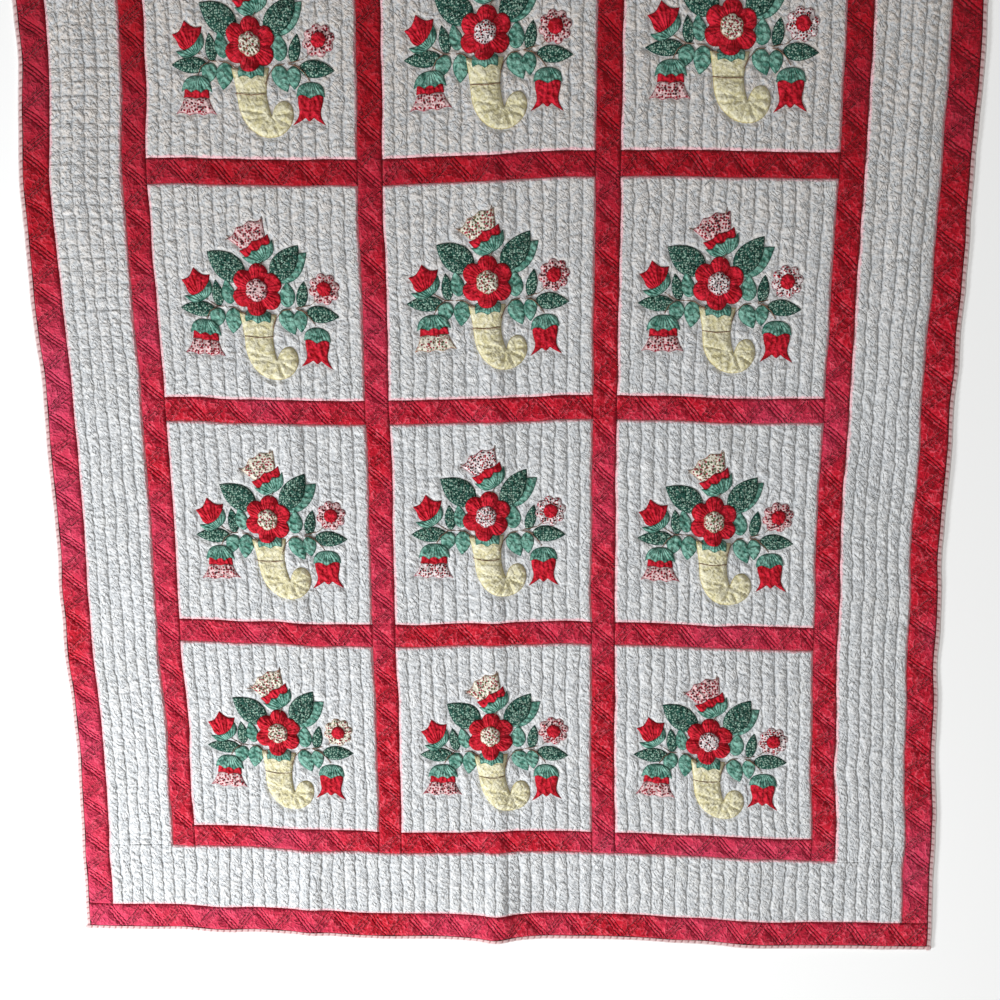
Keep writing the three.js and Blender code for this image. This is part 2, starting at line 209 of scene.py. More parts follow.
# %% [markdown]
# ## Cotton
# Every cloth here is plain-woven quilting cotton: matt, with a faint fuzz of sheen. Its threads are far
# too fine to show from standing height, so they aren't drawn. What the eye gets is crinkle: small lumps,
# and creases that run aslant both ways between the stitching. A picture of cloth could give that too, but
# nodes follow each piece and never repeat. A noise gives the lumps. A second one is folded at its middle
# value, which turns its contour into a sharp valley, or a ridge, and it is stretched along the slant.
# Sizes are in mm. A range such as RELIEF holds a value's low and high, and what those two turn into.

# %% Colour, nodes and a creased cotton
METRE = 1000
COTTON_LOOK = {"Roughness": 0.9, "Specular IOR Level": 0.15, "Sheen Weight": 0.08}
LUMP_MM = 6
LUMP_DETAIL = 2
CREASE_MM = 12
CREASE_LONG = 1.8
CREASE_SLANT = 48
CREASE_SHARE = 0.25
VALLEY = (0, 0.16, 0, 1)
RIDGE = (0, 0.08, 1, 0)
RELIEF = (0.5, 0.95, 0, 1)


def linear(code):
    """A linear colour from an sRGB hex value."""
    parts = [int(code[k : k + 2], 16) / 255 for k in (1, 3, 5)]
    return [c / 12.92 if c <= 0.04045 else ((c + 0.055) / 1.055) ** 2.4 for c in parts] + [1]


def add(tree, kind, inputs=(), **settings):
    """Adds a node with its settings, and returns its first output. Inputs are values, hex colours or links,
    in the order in which the node shows them, or by name."""
    node = tree.nodes.new("ShaderNode" + kind)
    for name, value in settings.items():
        setattr(node, name, value)
    shown = [socket for socket in node.inputs if socket.enabled]
    named = isinstance(inputs, dict)
    for key, value in inputs.items() if named else enumerate(inputs):
        socket = node.inputs[key] if named else shown[key]
        if isinstance(value, bpy.types.NodeSocket):
            tree.links.new(value, socket)
        else:
            socket.default_value = linear(value) if isinstance(value, str) else value
    return next(socket for socket in node.outputs if socket.enabled)


def cotton(name, depth, ridged=False, slant=CREASE_SLANT):
    """A matt cotton, creased or ridged to a depth in mm: material, tree, place, normal and relief, a share
    for painted shade.
    """
    material = bpy.data.materials.new(name)
    material.use_nodes = True
    tree = material.node_tree
    for part, value in COTTON_LOOK.items():
        tree.nodes["Principled BSDF"].inputs[part].default_value = value
    place = add(tree, "TexCoord").node.outputs["Object"]
    height = add(tree, "TexNoise", (place, METRE / LUMP_MM, LUMP_DETAIL))
    for way in (slant, -slant):
        turn = {"Vector": place, "Rotation": (0, 0, math.radians(way)), "Scale": (1, CREASE_LONG, 1)}
        turned = add(tree, "Mapping", turn, vector_type="TEXTURE")
        noise = add(tree, "TexNoise", (turned, METRE / CREASE_MM, 1))
        middle = add(tree, "Math", (noise, 0.5), operation="SUBTRACT")
        folded = add(tree, "Math", (middle,), operation="ABSOLUTE")
        crease = add(tree, "MapRange", (folded, *(RIDGE if ridged else VALLEY)))
        height = add(tree, "Math", (crease, CREASE_SHARE, height), operation="MULTIPLY_ADD")
    normal = add(tree, "Bump", {"Height": height, "Distance": depth * MM})
    # The relief, low in the creases and high on the puffs, is the share by which the cloths paint shade and
    # highlight.
    relief = add(tree, "MapRange", (height, *RELIEF))
    return material, tree, place, normal, relief


def layered(tree, colour, layers):
    """A colour with more laid over it. Each layer is its share and its colour."""
    for share, over in layers:
        colour = add(tree, "Mix", (share, colour, over), data_type="RGBA")
    return colour


def marks_of(tree):
    """The three marks that a sheet keeps in its attribute called cloth."""
    marks = add(tree, "Attribute", attribute_name="cloth").node.outputs["Vector"]
    return add(tree, "SeparateXYZ", (marks,)).node.outputs


def finished(material, colour, normal):
    """The material with its colour and its normal linked to the shader."""
    shader = material.node_tree.nodes["Principled BSDF"]
    material.node_tree.links.new(colour, shader.inputs["Base Color"])
    material.node_tree.links.new(normal, shader.inputs["Normal"])
    return material


print("cotton: creases", CREASE_MM, "mm apart, lumps", LUMP_MM, "mm")

# %% [markdown]
# ### White ground
# Bleached white cotton, yellowed in blotches. Painted shade darkens it towards the top, and greys the
# creases of its crinkle. A white sheet's marks are its place across the stitched channels, its distance
# from a seam in mm, and how open the ground is: 0 under a patch, 1 on open ground and up to 2 where lines
# are quilted across as well. The stitching pulls a groove that is finer than the sheet's faces. Finer
# faces could carry it, but they would be millions, so it is drawn from the first mark in the bump, with a
# grey thread of painted shade in it. Drag lines cross the channels aslant both ways, where one row of
# stitching pulled against the next. Next to a seam the red dye has run into the white and left a pale pink
# edge.

# %% White cotton
WHITE_CREASE = 3.0
BLOTCH_MM = 160
BLOTCH_DETAIL = 3
FAR_UP = 0.65
CHANNEL = 25.4
GROOVE = (0, 4.0, 1, 0)
GROOVE_DEEP = 1.5
GROOVE_SHADE = 0.28
CROSSING = (0, 3.4 * MM, 1, 0)
DRAG_LINES = ((1.9, 16), (-1.9, 19.2))
DRAG = (0, 0.17, 1, 0)
DRAG_WANDER = 4.0
WANDER_MM = 45
DRAG_PATCH_MM = 22
DRAG_HERE = (0.38, 0.58, 0, 0.6)
TOOTH_MM = 9
DYE_RAGGED = 7.0
DYE_RUN = (5.5, 10.5, 0.95, 0)


def white_cotton():
    material, tree, place, normal, relief = cotton("washed white cotton", WHITE_CREASE)
    _, up, _ = add(tree, "SeparateXYZ", (place,)).node.outputs
    lane, seam, clear = marks_of(tree)
    near = add(tree, "Math", (lane, 0.5), operation="PINGPONG")
    far = add(tree, "Math", (near, CHANNEL), operation="MULTIPLY")
    pulled = add(tree, "MapRange", (far, *GROOVE), interpolation_type="SMOOTHSTEP")
    open_ground = add(tree, "Math", (clear, 1), operation="MINIMUM")
    upright = add(tree, "Math", (pulled, open_ground), operation="MULTIPLY")
    tick = add(tree, "Math", (up, CHANNEL * MM / 2), operation="PINGPONG")
    level = add(tree, "MapRange", (tick, *CROSSING), interpolation_type="SMOOTHSTEP")
    squares = add(tree, "Math", (clear, open_ground), operation="SUBTRACT")
    crossing = add(tree, "Math", (level, squares), operation="MULTIPLY")
    groove = add(tree, "Math", (upright, crossing), operation="MAXIMUM")
    wander = add(tree, "TexNoise", (place, METRE / WANDER_MM, 1))
    patchy = add(tree, "TexNoise", (place, METRE / DRAG_PATCH_MM, 1))
    here = add(tree, "MapRange", (patchy, *DRAG_HERE))
    held = add(tree, "Math", (here, open_ground), operation="MULTIPLY")
    for lean, step in DRAG_LINES:
        rise = add(tree, "Math", (up, METRE / step), operation="MULTIPLY")
        aslant = add(tree, "Math", (lane, lean, rise), operation="MULTIPLY_ADD")
        loose = add(tree, "Math", (wander, DRAG_WANDER, aslant), operation="MULTIPLY_ADD")
        close = add(tree, "Math", (loose, 0.5), operation="PINGPONG")
        drag = add(tree, "MapRange", (close, *DRAG), interpolation_type="SMOOTHSTEP")
        dent = add(tree, "Math", (drag, held), operation="MULTIPLY")
        groove = add(tree, "Math", (groove, dent), operation="MAXIMUM")
    blotch = add(tree, "TexNoise", (place, METRE / BLOTCH_MM, BLOTCH_DETAIL))
    # Painted shade: the white grows darker and warmer towards the top, where less light falls.
    painted_top_shade = add(tree, "MapRange", (up, 0, FAR_UP))
    bleached = layered(tree, "#fcfdfe", [(blotch, "#f4f3ef"), (painted_top_shade, "#eee5dc")])
    shade = add(tree, "Math", (groove, GROOVE_SHADE), operation="MULTIPLY")
    tooth = add(tree, "TexNoise", (place, METRE / TOOTH_MM, 1))
    ragged = add(tree, "Math", (tooth, DYE_RAGGED, seam), operation="MULTIPLY_ADD")
    run = add(tree, "MapRange", (ragged, *DYE_RUN), interpolation_type="SMOOTHSTEP")
    # Painted shade: grey in the creases of the crinkle, and in the stitched grooves and drag lines.
    colour = layered(tree, "#d6d9db", [(relief, bleached), (shade, "#8b9094"), (run, "#ffc9cf")])
    dip = {"Height": groove, "Distance": GROOVE_DEEP * MM, "Normal": normal}
    return finished(material, colour, add(tree, "Bump", dip, invert=True))


# A matt, bright white, with painted grey shade in its creases and grooves.
WHITE = white_cotton()
print(WHITE.name, "with channels of", CHANNEL, "mm")

# %% [markdown]
# ### Red strips
# Turkey red cotton, puckered into sharp ridges. Painted shade leaves it a deep red in the creases, and a
# painted highlight pales its puffs and ridges. It has faded in slow patches to a bluish pink, and painted
# light makes that pink stronger to the left and the bottom. Painted shade keeps the top end a deep red,
# and a painted shadow darkens its edges by the seams. The quilting here is a zigzag of three lines side by
# side. The marks hold the way along the strip and across it in millimetres. The lines are worked out from
# those two, in the bump and as painted shade in a darker red, because they too are finer than the sheet's
# faces.

# %% Red cotton
RED_RIDGE = 4.0
RED_SLANT = 42
RIDGE_HIGHLIGHT = (0.4, 0.9, 0, 0.26)
WASHED_MM = 380
WASHED_DETAIL = 2
LIGHT_SLOPE_ASIDE = -0.07
LIGHT_SLOPE_UP = -0.05
FADED_AND_LIT = (0.45, 0.73, 0, 0.5)
RED_TOP_SHADE = (0, FAR_UP, 0, 0.72)
EDGE_RAGGED = 9.0
SEAM_SHADOW = (4.5, 9.5, 0.45, 0)
ZIGZAG_LEG = 42
LINE_APART = 6.5
LINES = 3
LINE = (0, 2.8, 1, 0)
LINE_SHADE = 0.1
LINE_DEEP = 2.2


def square_on(wide):
    """How far one step from leg to leg is, square to the legs, on a strip of a width."""
    return ZIGZAG_LEG * wide / math.hypot(ZIGZAG_LEG, wide)


def red_cotton(name, wide):
    material, tree, place, normal, relief = cotton(name, RED_RIDGE, True, RED_SLANT)
    aside, up, _ = add(tree, "SeparateXYZ", (place,)).node.outputs
    along, across, _ = marks_of(tree)
    # Painted highlight on the ridges.
    ridge = add(tree, "MapRange", (relief, *RIDGE_HIGHLIGHT))
    # Faded in slow random patches, and painted light that makes the pink stronger to the left and the
    # bottom.
    worn_and_lit = add(tree, "TexNoise", (place, METRE / WASHED_MM, WASHED_DETAIL))
    for way, slope in ((aside, LIGHT_SLOPE_ASIDE), (up, LIGHT_SLOPE_UP)):
        worn_and_lit = add(tree, "Math", (way, slope, worn_and_lit), operation="MULTIPLY_ADD")
    faded_and_lit = add(tree, "MapRange", (worn_and_lit, *FADED_AND_LIT))
    # Painted shade: a deeper red towards the top, where less light falls.
    red_top_shade = add(tree, "MapRange", (up, *RED_TOP_SHADE))
    # Painted shadow: a ragged dark red next to the seams, where the white swells over the red.
    tooth = add(tree, "TexNoise", (place, METRE / TOOTH_MM, 1))
    edge = add(tree, "Math", (across, wide / 2), operation="PINGPONG")
    ragged = add(tree, "Math", (tooth, EDGE_RAGGED, edge), operation="MULTIPLY_ADD")
    seam_shadow = add(tree, "MapRange", (ragged, *SEAM_SHADOW), interpolation_type="SMOOTHSTEP")
    along = add(tree, "Math", (along, ZIGZAG_LEG), operation="DIVIDE")
    across = add(tree, "Math", (across, wide), operation="DIVIDE")
    line = 0
    for way in ("ADD", "SUBTRACT"):
        leg = add(tree, "Math", (along, across), operation=way)
        off = add(tree, "Math", (leg, 1), operation="PINGPONG")
        far = add(tree, "Math", (off, square_on(wide)), operation="MULTIPLY")
        near = add(tree, "Math", (far, LINE_APART / 2), operation="PINGPONG")
        thread = add(tree, "MapRange", (near, *LINE), interpolation_type="SMOOTHSTEP")
        group = add(tree, "Math", (far, LINE_APART * LINES / 2), operation="LESS_THAN")
        one = add(tree, "Math", (thread, group), operation="MULTIPLY")
        line = add(tree, "Math", (line, one), operation="MAXIMUM")
    dark = add(tree, "Math", (line, LINE_SHADE), operation="MULTIPLY")
    # Painted light and shade: deep red creases, pale puffs and ridges, a deeper red at the top, a painted
    # shadow by the seams and painted shade in the stitching.
    colour = layered(tree, "#c61329", [(relief, "#f5384d"), (ridge, "#ff8a98"), (faded_and_lit, "#ee5c88"),
                                       (red_top_shade, "#a50a18"), (seam_shadow, "#6b0512"), (dark, "#7c0713")])
    dip = {"Height": line, "Distance": LINE_DEEP * MM, "Normal": normal}
    return finished(material, colour, add(tree, "Bump", dip, invert=True))


# A strong red with light on its ridges and shade in its stitching. Each kind of strip has its own width.
RED_SASH = red_cotton("turkey red sashing cotton", SASH - 2 * OVER)
RED_BAND = red_cotton("turkey red band cotton", BAND - OVER)
print(RED_SASH.name, "and", RED_BAND.name, "with a zigzag of", LINES, "lines")

# %% [markdown]
# ### Patch cloths, binding and backing
# The flowers are cut from plain cottons and from small scrap prints: white with red and dark dots, pink
# with flecks, and cream with mixed flecks. The big leaves are a dark green print. A print is two or three
# sizes of spots over a ground. Real spots of two millimetres would blur, so they are drawn about twice
# that size. A patch's marks are a run of pleats in mm, drawn as waves in the bump, and its inset from the
# rim, near which the cloth is darker. The binding is white, and pink along its inner edge. The stitches
# that whip it down show as short dark ticks, thread with painted shade where they pinch it. The backing is
# plain and unbleached.

# %% Plain and printed cottons
PLEAT_MM = 6.5
RIM = (0.7, 2.2, 0.8, 0)
SPOT_CHANCE = 0.7
SPOT_SOFT = 0.06
BINDING_CREASE = 0.9
TICK_APART = 13.6
TICK_LEAN = 0.5
TICK = (0.8, 2.6, 0.9, 0)
INNER_EDGE = (2.0, 5.5, 0.9, 0)


def patch_cotton(name, ground, edge, pale=None, spots=(), crease=2.4, pleat=0.4):
    """A plain cloth with painted shade in its creases and a paler painted highlight on its puffs, or a
    print.
    spots: spacing in mm, share that is filled, colour.
    """
    material, tree, place, normal, relief = cotton(name, crease)
    run, inset, _ = marks_of(tree)
    # Painted shade and highlight: the ground in the creases, the pale colour on the puffs.
    layers = [(relief, pale)] if pale else []
    for spacing, fill, spot in spots:
        scatter = {"Vector": place, "Scale": METRE / spacing, "Randomness": SPOT_CHANCE}
        cells = add(tree, "TexVoronoi", scatter)
        layers.append((add(tree, "MapRange", (cells, fill - SPOT_SOFT, fill + SPOT_SOFT, 1, 0)), spot))
    layers.append((add(tree, "MapRange", (inset, *RIM)), edge))
    turn = add(tree, "Math", (run, 2 * math.pi / PLEAT_MM), operation="MULTIPLY")
    wave = add(tree, "Math", (turn,), operation="SINE")
    folds = {"Height": wave, "Distance": pleat * MM, "Normal": normal}
    return finished(material, layered(tree, ground, layers), add(tree, "Bump", folds))


def binding_cotton():
    material, tree, _, normal, _ = cotton("washed binding cotton", BINDING_CREASE)
    run, round_edge, _ = marks_of(tree)
    # The ticks are the whipping thread, with painted shade where it pinches the binding.
    slant = add(tree, "Math", (round_edge, TICK_LEAN, run), operation="MULTIPLY_ADD")
    near = add(tree, "Math", (slant, TICK_APART / 2), operation="PINGPONG")
    tick = add(tree, "MapRange", (near, *TICK))
    inner = add(tree, "MapRange", (round_edge, *INNER_EDGE))
    short = add(tree, "Math", (tick, inner), operation="MULTIPLY")
    return finished(material, layered(tree, "#f4e6e3", [(inner, "#eec3c2"), (short, "#a9686a")]), normal)


# A pale edge with a pink cast, and an off-white back.
BOUND = binding_cotton()
BACK = patch_cotton("unbleached backing cotton", "#e6e1d4", "#e6e1d4", "#f1ede3", crease=1.6, pleat=0)
CLOTHS = {
    # Plain colours, with painted shade deep in the creases and a painted highlight pale on the puffs.
    "red": patch_cotton("turkey red patch cotton", "#a90715", "#8f0815", "#ee2a40", (), 3.4, 0.5),
    "green": patch_cotton("leaf green patch cotton", "#3d7a69", "#2b5f50", "#94cab8", (), 3.4, 0.6),
    # A print looks like grain from afar. On dark green it is a sparkle.
    "leaf": patch_cotton("dark leaf print cotton", "#28574b", "#12332c",
                         spots=[(4.6, 0.36, "#9fc2ae"), (3.4, 0.2, "#dbe8dc"), (7.0, 0.3, "#0e2f29")]),
    # A soft yellow, with a painted highlight pale on its gathers.
    "horn": patch_cotton("butter yellow patch cotton", "#e4daa8", "#bfae72", "#fff9da", (), 2.4, 0.25),
    # From afar these prints are pinks of three strengths.
    "dot": patch_cotton("white dotted print cotton", "#fbefee", "#a0606a",
                        spots=[(5.0, 0.4, "#b01c2b"), (5.8, 0.34, "#332024")]),
    "pink": patch_cotton("pink flecked print cotton", "#f7d3d2", "#9c4450",
                         spots=[(5.4, 0.42, "#a32334"), (6.6, 0.34, "#4a2a2d")]),
    "cream": patch_cotton("cream mixed print cotton", "#f8f2df", "#a67f62",
                          spots=[(5.8, 0.4, "#a83a4c"), (7.0, 0.34, "#5d6f4c"), (6.2, 0.28, "#8c5a3c")]),
    # The thread is a thin brown line.
    "thread": patch_cotton("brown stem thread", "#6b4a38", "#6b4a38", "#97745c", (), 0.2, 0),
}
CLOTH_NAMES = list(CLOTHS)
print("cloths:", len(bpy.data.materials))

# %% [markdown]
# ## The bouquet's patches
# Each block has the same bouquet: a curled horn full of flowers and leaves, cut as separate patches with
# their edges turned under. Curve objects could draw them, but formulas and a few points, in millimetres
# from the middle of the block, show how each gets its shape. The patches are made in the order in which
# they are sewn, so a later one covers the edge of an earlier one. Those of one group were laid down
# together, and turn about a pivot. A crease is a line that a stitch or a gather presses in: from, to and
# depth. Pleats give each point its place in a run of fine pleats. The leaves come first, each with a
# midrib and veins.

# %% Leaves
Patch = namedtuple("Patch", "group pivot cloth outline puff creases pleats")
PATCHES = []
LEAVES = [
    ("leaf", (-36, 30), (-107, 78), 54, 3.6),
    ("green", (28, 26), (92, 80), 45, 3.6),
    ("leaf", (22, 28), (74, 97), 47, 3.6),
    ("leaf", (-84, -25), (-92, 26), 23, 2.9),
    ("green", (-62, -20), (-72, 27), 26, 3.0),
    ("leaf", (-94, -33), (-166, -32), 31, 3.6),
    ("green", (-82, -29), (-98, -70), 30, 3.6),
    ("green", (-56, -27), (-62, -79), 33, 3.6),
    ("green", (46, -24), (46, 25), 31, 3.0),
    ("leaf", (72, -26), (82, 27), 23, 2.9),
    ("leaf", (84, -34), (151, -39), 33, 3.6),
    ("green", (38, -30), (61, -79), 33, 3.6),
    ("green", (72, -30), (74, -74), 27, 3.6),
]
LEAF_STEPS = 16
LEAF_CROWDED = 1.5
LEAF_FULL = 2.05
LEAF_FOOT = 0.5
LEAF_TIP = 1.6
RIB_LONG = 0.92
RIB_DEEP = 2.0
VEINS_AT = (0.2, 0.4, 0.6)
VEIN_LONG = 0.22
VEIN_WIDE = 0.4
VEIN_DEEP = 1.1
VEIN_SLANT = 0.6
VEIN_RUN = 0.5


def sew_leaf(cloth, stalk, tip, wide, puff):
    """A leaf with a pointed tip and a round foot, where its points crowd."""
    foot, along = np.array(stalk, float), np.subtract(tip, stalk).astype(float)
    long = np.hypot(*along)
    up, across = along / long, np.array([-along[1], along[0]]) / long
    share = np.linspace(0, 1, LEAF_STEPS)[:, None] ** LEAF_CROWDED
    half = LEAF_FULL * share**LEAF_FOOT * (1 - share**LEAF_TIP) * across * wide / 2
    middle = foot + share * along
    outline = np.vstack([middle - half, (middle + half)[-2:0:-1]])
    creases = [(foot, foot + RIB_LONG * along, RIB_DEEP)]
    for start in (foot + at * along for at in VEINS_AT):
        for side in (-VEIN_WIDE, VEIN_WIDE):
            creases.append((start, start + VEIN_LONG * along + side * wide * across, VEIN_DEEP))

    def pleats(points):
        return VEIN_RUN * ((points - foot) @ up - VEIN_SLANT * np.abs((points - foot) @ across))

    PATCHES.append(Patch(f"leaf at {tip[0]}", foot, cloth, outline, puff, creases, pleats))


for row in LEAVES:
    sew_leaf(*row)
print("leaves:", len(PATCHES))

# %% [markdown]
# ### Horn
# The horn is gathered twice: in level folds under a line of stitches below its mouth, and in a fan where
# it curls. A smooth curve through many points could draw it. Here a few points do, whose corners are cut
# again and again until they look round, but for the ones marked sharp with a 1.

# %% Horn
CORNER_CUTS = 3
CORNER_SHARE = 0.25
HORN = [
    (-47, -37, 1), (-43, -60, 0), (-39, -86, 0), (-37, -114, 0), (-24, -143, 0), (0, -163, 0),
    (28, -167, 0), (51, -159, 0), (66, -140, 0), (68, -117, 0), (58, -100, 0), (43, -98, 0),
    (31, -108, 0), (25, -126, 1), (20, -110, 0), (16, -86, 0), (19, -60, 0), (25, -37, 1),
]
HORN_PIVOT = np.array([-10, -45.0])
HORN_PUFF = 5.0
HORN_SEAM = ((-44, -84), (18, -84), 2.6)
GATHERS = [((x, -72), (x + lean, -94), 2.2)
           for x, lean in ((-31, 3), (-23, 2), (-15, 1), (-7, 0), (1, -1), (9, -3))]
CURL = np.array([25, -126])
FAN_ENDS = ((-34, -112), (-27, -132), (-10, -152), (14, -164), (40, -162), (62, -146), (66, -122))
FAN_STARTS = 0.2
FAN_DEEP = 3.6
HORN_SLANT = np.array([0.8, -0.6])


def rounded(points, sharp):
    """Cuts every corner into a curve, but for the sharp ones."""
    for _ in range(CORNER_CUTS):
        cut, keen = [], []
        for k, point in enumerate(points):
            if sharp[k]:
                cut.append(point)
                keen.append(1)
                continue
            for beside in (points[k - 1], points[(k + 1) % len(points)]):
                cut.append((1 - CORNER_SHARE) * point + CORNER_SHARE * beside)
                keen.append(0)
        points, sharp = cut, keen
    return np.array(points)


horn_outline = rounded([np.array(point[:2], float) for point in HORN], [point[2] for point in HORN])
fan = [((1 - FAN_STARTS) * CURL + FAN_STARTS * np.array(end), end, FAN_DEEP) for end in FAN_ENDS]
PATCHES.append(Patch("horn", HORN_PIVOT, "horn", horn_outline, HORN_PUFF, [HORN_SEAM] + GATHERS + fan,
                     lambda points: points @ HORN_SLANT))
print("points round the horn:", len(horn_outline))

# %% [markdown]
# ### Flower heads
# The tulips, the bell and the bud are alike on both sides, so half an outline is enough and the rest is
# its mirror image. Each flower is sewn from its tips to its green cap, and its pleats fan out from its
# foot. The names bud, bell, rose and daisy stand for a scrap print that is chosen for each block.

# %% Flower heads
FAN_BACK = 10
FAN_REACH = 34
BELL = ("bell", (-116, -54), 180)
HANGING = ("hanging tulip", (104, -62), 180)
BUD = ("bud", (6, 63), 30)
HEADS = [
    ("horn", (-10, -30), 180, "green", 2.6,
     [(0, 24, 0), (12, 26, 0), (25, 24, 1), (20, 12, 0), (28, 0, 1)], [(8, 9, 24, 11, 1.4)]),
    (*BELL, "bell", 3.0, [(38, 26, 0), (52, 29, 0), (70, 41, 1), (66, 28, 0), (72, 14, 1), (67, 0, 0)],
     [(42, 16, 67, 24, 1.6), (42, 0, 69, 0, 1.6)]),
    (*BELL, "red", 2.8, [(22, 25, 1), (41, 27, 1), (38, 14, 0), (42, 0, 1)], [(26, 9, 40, 11, 1.2)]),
    (*BELL, "green", 3.8,
     [(-1, 8, 0), (3, 20, 0), (12, 28, 0), (30, 32, 1), (23, 21, 0), (31, 10, 1), (24, 0, 0)],
     [(4, 4, 26, 16, 1.8), (3, 0, 24, 0, 1.5)]),
    (*HANGING, "red", 4.0,
     [(18, 25, 0), (36, 25, 0), (54, 20, 0), (66, 23, 0), (79, 32, 1), (70, 15, 0), (64, 8, 1), (73, 0, 0)],
     [(28, 18, 60, -6, 1.9), (58, 8, 74, 22, 1.0)]),
    (*HANGING, "green", 3.8, [(-1, 7, 0), (3, 19, 0), (11, 26, 0), (27, 28, 1), (21, 16, 0), (30, 0, 1)],
     [(4, 4, 22, 14, 1.8), (3, 0, 25, 0, 1.5)]),
    ("tulip", (-125, -5), 14, "red", 3.8,
     [(0, 14, 0), (8, 23, 0), (22, 24, 0), (35, 30, 1), (36, 14, 0), (54, 0, 1)], [(8, 8, 34, 12, 1.8)]),
    ("tulip", (-116, -14), 34, "green", 3.2,
     [(0, 7, 0), (4, 21, 0), (13, 28, 0), (27, 31, 1), (18, 16, 0), (15, 0, 0)],
     [(4, 8, 18, 20, 1.5), (2, 0, 15, 0, 1.3)]),
    (*BUD, "bud", 3.4, [(36, 26, 0), (52, 31, 0), (72, 40, 1), (71, 27, 0), (81, 13, 1), (77, 0, 0)],
     [(44, 12, 74, 17, 1.5)]),
    (*BUD, "red", 3.0, [(18, 28, 1), (41, 33, 1), (37, 16, 0), (43, 0, 1)], [(26, 10, 41, 12, 1.2)]),
    (*BUD, "green", 4.0,
     [(-1, 9, 0), (3, 22, 0), (11, 30, 0), (28, 35, 1), (20, 23, 0), (28, 11, 1), (20, 0, 0)],
     [(2, 6, 24, 20, 1.9), (0, 0, 21, 0, 1.6)]),
]


def sew_head(group, foot, lean, cloth, puff, rows, lines):
    """A head that leans to the left, in degrees. Rows: way up from the foot, half width, if it is sharp.
    Lines: creases as way up and aside at both ends, and a depth."""
    base, turn = np.array(foot, float), math.radians(lean)
    up = np.array([-math.sin(turn), math.cos(turn)])
    right = np.array([math.cos(turn), math.sin(turn)])
    side = [(base + way * up + half * right, keen) for way, half, keen in rows]
    mirror = [(base + way * up - half * right, keen) for way, half, keen in rows if half > 0]
    outline = rounded(*zip(*side, *mirror[::-1]))
    creases = [(base + a * up + side * b * right, base + c * up + side * d * right, deep)
               for a, b, c, d, deep in lines for side in (-1, 1)]

    def pleats(points):
        forward = np.maximum((points - base) @ up, 0) + FAN_BACK
        return FAN_REACH * np.arctan2((points - base) @ right, forward)

    PATCHES.append(Patch(group, base, cloth, outline, puff, creases, pleats))


for row in HEADS:
    sew_head(*row)
print("parts of flower heads:", len(HEADS))

# %% [markdown]
# ### Round flowers
# The rose and the daisy are discs with a notch, and a crease, between each two petals, and a smaller disc
# on top. Petals could be patches of their own, but a quilter cuts such a flower from one piece.

# %% Round flowers
BLOSSOMS = [
    ("rose", "red", -10, 6, 50, 6, 0.22, 85, 5.6, 19, 3.4),
    ("rose", "rose", -10, 6, 22, 6, 0.1, 85, 3.0, 0, 0),
    ("daisy", "daisy", 120, 13, 31, 8, 0.22, 10, 3.0, 14, 1.6),
    ("daisy", "red", 120, 13, 14.5, 8, 0.06, 0, 2.4, 0, 0),
]
BLOSSOM_STEPS = 72
PETAL_ROUND = 1.4
PETAL_REACH = 0.95
PETAL_RUN = 0.8


def sew_blossom(group, cloth, x, y, radius, petals, notch, first, puff, inner, deep):
    """A blossom whose first petal points a way in degrees. Its creases run from an inner radius out."""
    middle, start = np.array([x, y], float), math.radians(first)
    turn = np.linspace(0, 2 * np.pi, BLOSSOM_STEPS, endpoint=False)
    lobe = np.abs(np.cos(petals / 2 * (turn - start)))
    reach = radius * (1 - notch * (1 - lobe) ** PETAL_ROUND)
    outline = np.stack([x + reach * np.cos(turn), y + reach * np.sin(turn)], 1)
    creases = []
    for k in range(petals if deep else 0):
        turn = math.radians(first + 360 * (k + 0.5) / petals)
        way = np.array([math.cos(turn), math.sin(turn)])
        creases.append((middle + inner * way, middle + PETAL_REACH * radius * way, deep))

    def pleats(points):
        turn = np.arctan2(points[:, 1] - y, points[:, 0] - x) - start
        petal = np.abs((turn * petals / (2 * np.pi) + 0.5) % 1 - 0.5)
        return petal * 2 * np.pi / petals * radius * PETAL_RUN

    PATCHES.append(Patch(group, middle, cloth, outline, puff, creases, pleats))


for row in BLOSSOMS:
    sew_blossom(*row)
print("patches in a bouquet:", len(PATCHES))

# %% [markdown]
# ### Filling a patch
# A patch is stitched down at its rim and puffs up inside, so the distance of a point from the rim shapes
# it. Filling it by hand would be a face with many insets, but a net of even triangles bends better over
# folds. First come the measures: even points along a line, and distances to lines and outlines.

# %% Measure lines and outlines
TINY = 1e-9


def spaced(line, step, least, closed):
    """Even points along a line, or round a closed one."""
    line = np.vstack([line, line[:1]]) if closed else np.array(line, float)
    run = np.concatenate([[0], np.cumsum(np.linalg.norm(np.diff(line, axis=0), axis=1))])
    at = np.linspace(0, run[-1], max(least, round(run[-1] / step)), endpoint=not closed)
    return np.stack([np.interp(at, run, line[:, k]) for k in (0, 1)], 1)


def across_of(way):
    """The ways to the left of others, of length 1."""
    return np.stack([-way[:, 1], way[:, 0]], 1) / np.linalg.norm(way, axis=1)[:, None]


def twice_area(outline):
    ahead = np.roll(outline, -1, axis=0)
    return (outline[:, 0] * ahead[:, 1] - outline[:, 1] * ahead[:, 0]).sum()


def to_lines(points, starts, ends):
    """The distance from each point to each line."""
    along = ends - starts
    share = ((points[:, None] - starts) * along).sum(-1) / np.maximum((along**2).sum(-1), TINY)
    nearest = starts + np.clip(share, 0, 1)[..., None] * along
    return np.linalg.norm(points[:, None] - nearest, axis=-1)


